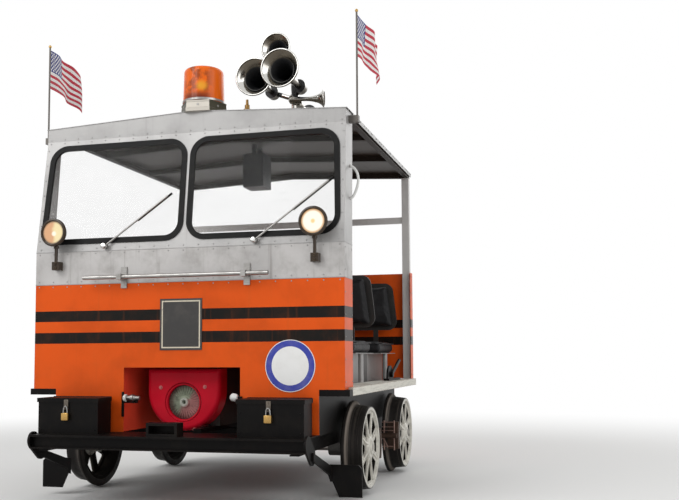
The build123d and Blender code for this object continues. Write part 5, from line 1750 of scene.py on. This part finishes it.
@dataclass
class EngineFront:
    """What shows in the engine bay: shroud screws, funnel, rotor, choke pull and throttle knob."""

    shop: Assembly
    face: float = -0.765
    screws: tuple[tuple[float, float], ...] = ((-0.159, 0.530), (0.067, 0.533), (0.016, 0.333))
    vanes: int = 32
    choke: Point = (-0.244, -0.884, 0.485)
    throttle: Point = (0.258, -0.884, 0.491)
    bracket_front: float = -0.8785

    def build(self) -> None:
        """Make the fittings in the bay."""
        places = [Bench.stand((x, self.face, z), FORWARD) for x, z in self.screws]
        self.shop.deliver(Bench.copies(Bench.bolt(0.0065), places), "shroud_screws",
                          Slot.ENGINE_RED, finish=SCREW_RED)
        self._inlet()
        self._rotor()
        self._choke()
        self._throttle()

    def _inlet(self) -> None:
        """Funnel ring that leads the air from the shroud's edge to the flywheel."""
        funnel = Bench.turned([(0.0885, 0.0035), (0.0865, 0.0035), (0.0835, 0.0045),
                               (0.0805, 0.0090), (0.0802, 0.0200), (0.0820, 0.0200),
                               (0.0825, 0.0110), (0.0885, 0.0050), (0.0885, 0.0035)],
                              (ENGINE_X, self.face, ENGINE_Z), REARWARD, 48)
        self.shop.deliver(funnel, "inlet_funnel", Slot.ENGINE_RED)

    def _rotor(self) -> None:
        """Hub ring and thin cooling vanes on the flywheel's face."""
        centre = (ENGINE_X, self.face + 0.0195, ENGINE_Z)
        ring = Bench.turned([(0.0105, 0.004), (0.0105, -0.0085), (0.0125, -0.0105),
                             (0.018, -0.0105), (0.020, -0.0085), (0.021, -0.002),
                             (0.030, 0.001), (0.030, 0.004)], centre, REARWARD, 32)
        self.shop.deliver(ring, "hub_ring", Slot.FLYWHEEL_GREY, FLYWHEEL, ROTOR)
        vane = Bench.prism([(0.031, -0.0006, -0.004), (0.074, -0.0006, -0.004),
                            (0.0755, -0.0006, 0.008), (0.044, -0.0006, 0.004),
                            (0.031, -0.0006, 0.001)], (0.0, 0.0012, 0.0))
        seat = Bench.stand(centre, FORWARD)
        places = [seat @ Matrix.Rotation(math.tau * (index + 0.5) / self.vanes, 4, "Z")
                  for index in range(self.vanes)]
        self.shop.deliver(Bench.copies(vane, places), "cooling_vanes", Slot.FLYWHEEL_GREY,
                          FLYWHEEL, ROTOR)

    def _choke(self) -> None:
        """Plated pull with a white cap on a bracket at the right edge of the opening."""
        x, y, z = self.choke
        back, front = PANEL_Y - REST, self.bracket_front
        barrel = Bench.turned([(0.0, -0.030), (0.011, -0.030), (0.013, -0.027), (0.013, -0.008),
                               (0.017, -0.006), (0.017, 0.006), (0.013, 0.008), (0.010, 0.024),
                               (0.010, 0.036), (0.0, 0.036)], self.choke, (1, 0, 0), 20)
        self.shop.deliver(barrel, "choke_barrel", Slot.CHROME, finish=VALVE_PLATE)
        cap = Bench.turned([(0.0, -0.048), (0.012, -0.046), (0.017, -0.040), (0.017, -0.032),
                            (0.012, -0.030), (0.0, -0.030)], self.choke, (1, 0, 0), 20)
        self.shop.deliver(cap, "choke_knob", Slot.HANDLE_WHITE)
        arm = Bench.block((-0.300, front, z - 0.024), (x + 0.022, back, z - 0.010))
        post = Bench.block((x - 0.006, y - 0.006, z - 0.024), (x + 0.008, back, z + 0.004))
        plate = Bench.block((-0.3045, front, z - 0.088), (-0.2935, back, z + 0.028))
        self.shop.deliver(Bench.join([arm, post, plate]), "choke_bracket", Slot.FRAME_BLACK)

    def _throttle(self) -> None:
        """White throttle knob on its foot at the left edge of the opening."""
        x, y, z = self.throttle
        knob = Bench.turned([(0.0, -0.020), (0.013, -0.018), (0.018, -0.009), (0.018, 0.006),
                             (0.012, 0.013), (0.006, 0.016), (0.0, 0.016)],
                            self.throttle, (-1, 0, 0.15), 20)
        self.shop.deliver(knob, "throttle_knob", Slot.HANDLE_WHITE)
        foot = Bench.block((x - 0.008, y, z - 0.006), (x + 0.038, PANEL_Y - REST, z + 0.004))
        self.shop.deliver(foot, "throttle_foot", Slot.FRAME_BLACK)


@dataclass
class SpotLamp:
    """Reflector, bezel, bracket nuts and collar of one lamp."""

    shop: Assembly
    side: int
    nut_y: float = -0.911
    nut_rows: tuple[float, ...] = (1.103, 1.123)
    collar_z: float = 1.196

    def build(self) -> None:
        """Make the lamp's parts round its CAD bowl."""
        label = "left" if self.side > 0 else "right"
        x, y, z = self.side * LAMP_CENTRE[0], LAMP_CENTRE[1], LAMP_CENTRE[2]
        bowl = Bench.turned([(0.0, 0.048), (0.016, 0.046), (0.034, 0.034), (0.046, 0.018),
                             (0.0515, 0.0085), (0.0525, 0.0085), (0.047, 0.0195),
                             (0.035, 0.0355), (0.017, 0.0475), (0.0, 0.0495)], (x, y, z), REARWARD)
        self.shop.deliver(bowl, f"{label}_lamp_reflector", Slot.CHROME)
        bezel = Bench.turned([(0.0545, 0.0), (0.0550, -0.0030), (0.0590, -0.0048),
                              (0.0650, -0.0030), (0.0672, 0.0010), (0.0672, 0.0075),
                              (0.0655, 0.0075), (0.0655, -0.0002), (0.0545, -0.0002)],
                             (x, y, z), REARWARD, 40)
        self.shop.deliver(bezel, f"{label}_lamp_bezel", Slot.CHROME, finish=LAMP_SHELL)
        nuts = [Bench.stand((x, self.nut_y, row), FORWARD) for row in self.nut_rows]
        self.shop.deliver(Bench.copies(Bench.bolt(0.005, 0.004), nuts), f"{label}_lamp_nuts",
                          Slot.BRIGHT_STEEL, finish=LAMP_SHELL)
        collar = Bench.turned([(0.0085, 0.0), (0.0125, 0.001), (0.0125, 0.013), (0.0085, 0.014)],
                              (x, y + 0.031, self.collar_z), UPWARD, 20)
        self.shop.deliver(collar, f"{label}_lamp_collar", Slot.CHROME, finish=LAMP_SHELL)


@dataclass
class Wiper:
    """Blade and pivot cap of one wiper."""

    shop: Assembly
    name: str
    pivot: float
    tip: tuple[float, float]
    pivot_z: float = 1.201
    lift: float = 0.016
    blade: tuple[float, float] = (0.52, 1.06)

    def build(self) -> None:
        """Make the blade along the outer half of the arm, and the cap on the pivot."""
        out = Vector(RAKE_OUT)
        start, end = (Vector((x, rake_y(z), z)) + out * self.lift
                      for x, z in ((self.pivot, self.pivot_z), self.tip))
        across = (end - start).normalized().cross(out).normalized()
        low, high = (start.lerp(end, share) for share in self.blade)
        strips = []
        for half, near, far in ((0.0045, 0.0062, 0.0102), (0.0018, -0.0004, 0.0064)):
            base_low, base_high = low - out * far, high - out * far
            outline = [base_low - across * half, base_low + across * half,
                       base_high + across * half, base_high - across * half]
            strips.append(Bench.prism([tuple(p) for p in outline], tuple(out * (far - near))))
        self.shop.deliver(Bench.join(strips), f"{self.name}_wiper_blade", Slot.RUBBER_BLACK)
        cap = Bench.turned([(0.0, 0.0105), (0.0100, 0.0095), (0.0145, 0.004), (0.0150, 0.0),
                            (0.0150, -0.004), (0.0, -0.004)], tuple(start + out * 0.0085),
                           RAKE_OUT, 24)
        self.shop.deliver(cap, f"{self.name}_wiper_cap", Slot.CHROME)


@dataclass
class Beacon:
    """Six-sided base, what stands under the amber dome, and the fittings beside it."""

    shop: Assembly
    low: float = 1.854
    rise: float = 0.044
    facets: int = 6
    facet_radius: float = 0.1130
    twist: float = 6.3

    def build(self) -> None:
        """Make the base, the band, the bulb, the screws and the roof fittings."""
        self._base()
        self._under_dome()
        self._screws()
        self._roof_fittings()

    def _base(self) -> None:
        """Flat-sided base with the rotator and its mirror."""
        foot, top, roof = -0.010, self.rise, self.low + self.rise
        base = Bench.turned([(0.0, foot), (0.1180, foot), (0.1180, 0.006), (0.1150, 0.008),
                             (0.1120, top - 0.010), (0.1135, top - 0.008), (0.1135, top - 0.001),
                             (0.1115, top), (0.0, top)],
                            (BEACON_X, BEACON_Y, self.low), UPWARD, self.facets)
        base.data.transform(Matrix.Translation((BEACON_X, BEACON_Y, 0.0))
                            @ Matrix.Rotation(math.radians(self.twist), 4, "Z")
                            @ Matrix.Translation((-BEACON_X, -BEACON_Y, 0.0)))
        Bench.soften(base, 20.0)
        rotator = Bench.turned([(0.0, 0.0), (0.040, 0.0), (0.042, 0.003), (0.042, 0.016),
                                (0.030, 0.020), (0.014, 0.022), (0.012, 0.040), (0.0, 0.040)],
                               (BEACON_X, BEACON_Y, roof), UPWARD, 24)
        mirror = Bench.turned([(0.0, 0.052), (0.020, 0.048), (0.036, 0.034), (0.044, 0.014),
                               (0.0460, 0.0), (0.0470, 0.0), (0.0455, 0.015), (0.037, 0.036),
                               (0.021, 0.050), (0.0, 0.054)],
                              (BEACON_X + 0.012, BEACON_Y - 0.014, roof + 0.088),
                              (-0.6, 0.8, 0.0), 28)
        piece = self.shop.deliver(Bench.join([base, rotator, mirror]), "beacon_base_body",
                                  Slot.CHROME, finish=BASE_PLATE)
        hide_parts("beacon_base")

    def _under_dome(self) -> None:
        """Clamp band round the dome's foot, and the bulb inside."""
        roof = self.low + self.rise
        band = Bench.turned([(0.1002, 0.0), (0.1030, 0.001), (0.1030, 0.010), (0.1002, 0.012)],
                            (BEACON_X, BEACON_Y, roof + 0.0008), UPWARD, 48)
        self.shop.deliver(band, "beacon_clamp_band", Slot.BRIGHT_STEEL)
        bulb = Bench.turned([(0.0, 0.040), (0.010, 0.037), (0.014, 0.028), (0.012, 0.016),
                             (0.008, 0.008), (0.008, 0.0), (0.0, 0.0)],
                            (BEACON_X + 0.02, BEACON_Y - 0.02, roof + 0.030), UPWARD, 20)
        self.shop.deliver(bulb, "beacon_bulb", Slot.CHROME)

    def _screws(self) -> None:
        """One screw in the middle of each flat side."""
        places = []
        reach = self.facet_radius * math.cos(math.pi / self.facets)
        for index in range(self.facets):
            turn = math.radians(self.twist) + math.tau * (index + 0.5) / self.facets
            across, along = math.cos(turn), math.sin(turn)
            places.append(Bench.stand((BEACON_X + reach * across, BEACON_Y + reach * along,
                                       self.low + self.rise / 2), (across, along, 0)))
        self.shop.deliver(Bench.copies(Bench.bolt(0.004, 0.003), places), "beacon_screws",
                          Slot.BRIGHT_STEEL)

    def _roof_fittings(self) -> None:
        """Small brass fitting and the pipe that leads from it to the horns."""
        stud = Bench.turned([(0.0, 0.075), (0.006, 0.073), (0.007, 0.050), (0.012, 0.046),
                             (0.012, 0.030), (0.018, 0.026), (0.018, 0.014), (0.024, 0.011),
                             (0.024, -0.002), (0.0, -0.002)], (0.252, -0.700, 1.8380), UPWARD, 20)
        self.shop.deliver(stud, "roof_stud", Slot.CHROME, finish=BROWN_BRASS)
        pipe = Bench.bar([(0.262, -0.700, 1.8530), (0.285, -0.699, 1.8530),
                          (0.318, -0.690, 1.8500), (0.330, -0.676, 1.8370)], 0.0055)
        self.shop.deliver(pipe, "roof_pipe", Slot.BRIGHT_STEEL, finish=BROWN_BRASS)


@dataclass
class Flag:
    """Waving cloth on its pole, with the pole's finial."""

    shop: Assembly
    side: int
    top: float
    x: float = 0.807
    y: float = -0.7312
    pole_y: float = -0.736
    fly: float = 0.300
    hoist: float = 0.200
    taken_up: float = 0.955
    lean: float = 0.0
    columns: int = 30
    rows: int = 16

    def build(self) -> None:
        """Make the cloth and the finial."""
        label = "left" if self.side > 0 else "right"
        Bench.clear()
        bpy.ops.mesh.primitive_grid_add(x_subdivisions=self.columns, y_subdivisions=self.rows,
                                        size=1.0)
        cloth = bpy.context.object
        bpy.ops.object.mode_set(mode="EDIT")
        bpy.ops.mesh.select_all(action="SELECT")
        bpy.ops.mesh.flip_normals()
        bpy.ops.object.mode_set(mode="OBJECT")
        for vertex in cloth.data.vertices:
            vertex.co = self._waved(vertex.co.x + 0.5, vertex.co.y + 0.5)
        Bench.soften(cloth, 80.0)
        self.shop.deliver(cloth, f"{label}_flag", Slot.FLAG_CLOTH)
        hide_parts("flags")
        ball = Bench.turned([(0.0, 0.0), (0.004, 0.001), (0.0075, 0.006), (0.0075, 0.011),
                             (0.004, 0.016), (0.0, 0.017)],
                            (self.side * self.x, self.pole_y, self.top + 0.0178 - 0.010),
                            UPWARD, 16)
        self.shop.deliver(ball, f"{label}_finial", Slot.CHROME, finish=BRASS)

    def _waved(self, along: float, up: float) -> Vector:
        """Place of a point of the cloth, with more wave and sag towards the free edge.

        Args:
            along: Share of the way from the pole.
            up: Share of the way up.

        Returns:
            The point.
        """
        wave = math.sin(along * 9.0 + up * 1.6 + self.side) * 0.020 * along
        wave += math.sin(along * 17.0 - up * 3.0) * 0.006 * along
        drop = 0.055 * along * along + 0.012 * along * math.sin(up * 3.0)
        return Vector((self.side * self.x + wave + self.lean * along,
                       self.y + along * self.fly * self.taken_up,
                       self.top - self.hoist + up * self.hoist - drop))


@dataclass
class Pad:
    """Padded piece that swells from a slightly smaller form under cloth pressure."""

    low: Point
    high: Point
    taper: float = 0.0
    corner: float = 0.018
    voxel: float = 0.006
    pressure: float = 4.0
    last_frame: int = 20
    cap: float = 0.012
    shrink: float = 0.008

    def build(self) -> bpy.types.Object:
        """Make the pad.

        Returns:
            The finished pad.
        """
        low = Vector(self.low) + Vector((self.shrink,) * 3)
        high = Vector(self.high) - Vector((self.shrink,) * 3)
        pad = Bench.block(tuple(low), tuple(high), 0.0)
        if self.taper:
            middle = (low.x + high.x) / 2
            for vertex in pad.data.vertices:
                share = (vertex.co.z - low.z) / (high.z - low.z)
                if vertex.co.x > middle:
                    vertex.co.x -= self.taper * share
                else:
                    vertex.co.x += self.taper * 0.5 * share
        Bench.modify(pad, "BEVEL", width=self.corner, segments=4)
        Bench.modify(pad, "REMESH", mode="VOXEL", voxel_size=self.voxel)
        self._swell(pad)
        Bench.modify(pad, "SUBSURF", levels=1, render_levels=1)
        for face in pad.data.polygons:
            face.use_smooth = True
        return pad

    def _swell(self, pad: bpy.types.Object) -> None:
        """Blow the pad up with cloth pressure and cap how far each point moves.

        Args:
            pad: The pad, changed in place.
        """
        rest = [vertex.co.copy() for vertex in pad.data.vertices]
        Bench.only(pad)
        cloth = pad.modifiers.new("cloth", "CLOTH")
        settings = cloth.settings
        settings.use_pressure = True
        settings.uniform_pressure_force = self.pressure
        settings.effector_weights.gravity = 0.0
        scene = bpy.context.scene
        for number in range(1, self.last_frame + 1):
            scene.frame_set(number)
        bpy.ops.object.modifier_apply(modifier=cloth.name)
        scene.frame_set(1)
        for vertex, start in zip(pad.data.vertices, rest):
            move = vertex.co - start
            if move.length > self.cap:
                vertex.co = start + move.normalized() * self.cap


@dataclass
class Seats:
    """Cushions with their piping, and backs, of both rows."""

    shop: Assembly
    top: float = 0.6903
    thick: float = 0.062
    inner: float = 0.318
    outer: float = 0.690
    depth: float = 0.410
    starts: tuple[tuple[str, float], ...] = (("front", -0.310), ("rear", 0.295))
    back_thick: float = 0.048
    back_gap: float = 0.012
    back_rows: tuple[float, float] = (0.840, 1.110)
    back_taper: float = 0.034
    fill: float = 0.8
    piping_inset: float = 0.0105
    piping_corner: float = 0.03
    piping_radius: float = 0.0035

    def build(self) -> None:
        """Make every pad on both sides."""
        for row, start in self.starts:
            self._cushions(row, start)
        for row, start in self.starts:
            self._backs(row, start)

    @staticmethod
    def _both_sides(pad: bpy.types.Object) -> list[tuple[str, bpy.types.Object]]:
        """A pad and its mirror image on the other side of the car.

        Args:
            pad: The pad on the left.

        Returns:
            The side's name and the pad, for both.
        """
        twin = pad.copy()
        twin.data = pad.data.copy()
        twin.data.transform(Matrix.Scale(-1.0, 4, (1, 0, 0)))
        twin.data.flip_normals()
        bpy.context.collection.objects.link(twin)
        return [("left", pad), ("right", twin)]

    def _cushions(self, row: str, start: float) -> None:
        """One row's two cushions, flat underneath, with piping round their top edges.

        Args:
            row: The row's name.
            start: Where its cushions start along the car.
        """
        pad = Pad((self.inner, start, self.top),
                  (self.outer, start + self.depth, self.top + self.thick)).build()
        for vertex in pad.data.vertices:
            vertex.co.z = max(vertex.co.z, self.top + 0.0005)
        for side, piece in self._both_sides(pad):
            name = f"{row}_{side}_cushion"
            self.shop.deliver(piece, name, Slot.SEAT_BLACK)
            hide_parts(f"{row}_cushions")
            self._piping(name, 1 if side == "left" else -1, start)

    def _piping(self, name: str, sign: int, start: float) -> None:
        """Sewn cord round a cushion's top edge.

        Args:
            name: The cushion's name.
            sign: 1 on the left, -1 on the right.
            start: Where the cushion starts along the car.
        """
        inset, corner = self.piping_inset, self.piping_corner
        rise = self.top + self.thick - 0.0085
        x0, x1 = self.inner + inset, self.outer - inset
        y0, y1 = start + inset, start + self.depth - inset
        path = []
        for (x, y), (dx, dy) in (((x0, y0), (1, 0)), ((x1, y0), (0, 1)), ((x1, y1), (-1, 0)),
                                 ((x0, y1), (0, -1))):
            side = (x1 - x0 if dx else y1 - y0) - 2 * corner
            path += [(sign * (x + dx * reach), y + dy * reach, rise)
                     for reach in (corner, corner + side)]
        path.append(path[0])
        self.shop.deliver(Bench.bar(path, self.piping_radius, False), f"{name}_piping",
                          Slot.SEAT_BLACK)

    def _backs(self, row: str, start: float) -> None:
        """One row's two backs, flat where they lie on their shells.

        Args:
            row: The row's name.
            start: Where its cushions start along the car.
        """
        y = start + self.depth - self.back_thick + self.back_gap
        low, high = self.back_rows
        pad = Pad((self.inner, y, low), (self.outer, y + self.back_thick, high),
                  taper=self.back_taper).build()
        for vertex in pad.data.vertices:
            vertex.co.y = min(vertex.co.y, y + self.back_thick - REST)
        for side, piece in self._both_sides(pad):
            self.shop.deliver(piece, f"{row}_{side}_back", Slot.SEAT_BLACK)
            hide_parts("seat_backs")


def main() -> None:
    """Build the camera, the studio, the finishes and every piece, in order."""
    logging.basicConfig(level=logging.INFO, format="%(message)s")
    PhotoCamera().build()
    Studio().build()
    paints = Paints()
    paints.dress_frame()
    shop = Assembly(paints)
    BodyTrim(shop).build()
    Wheels(shop).build()
    BrakeRods(shop).build()
    PostBows(shop).build()
    ToolboxFittings(shop, "right_box", RIGHT_LID, -0.499).build()
    ToolboxFittings(shop, "left_box", LEFT_LID, 0.4805).build()
    EngineFront(shop).build()
    for side in (-1, 1):
        SpotLamp(shop, side).build()
    Wiper(shop, "right", -0.400, (-0.089, 1.432)).build()
    Wiper(shop, "left", 0.356, (0.700, 1.464)).build()
    Beacon(shop).build()
    Flag(shop, 1, 2.265, lean=0.045).build()
    Flag(shop, -1, 2.244).build()
    Seats(shop).build()


if __name__ == "__main__":
    main()
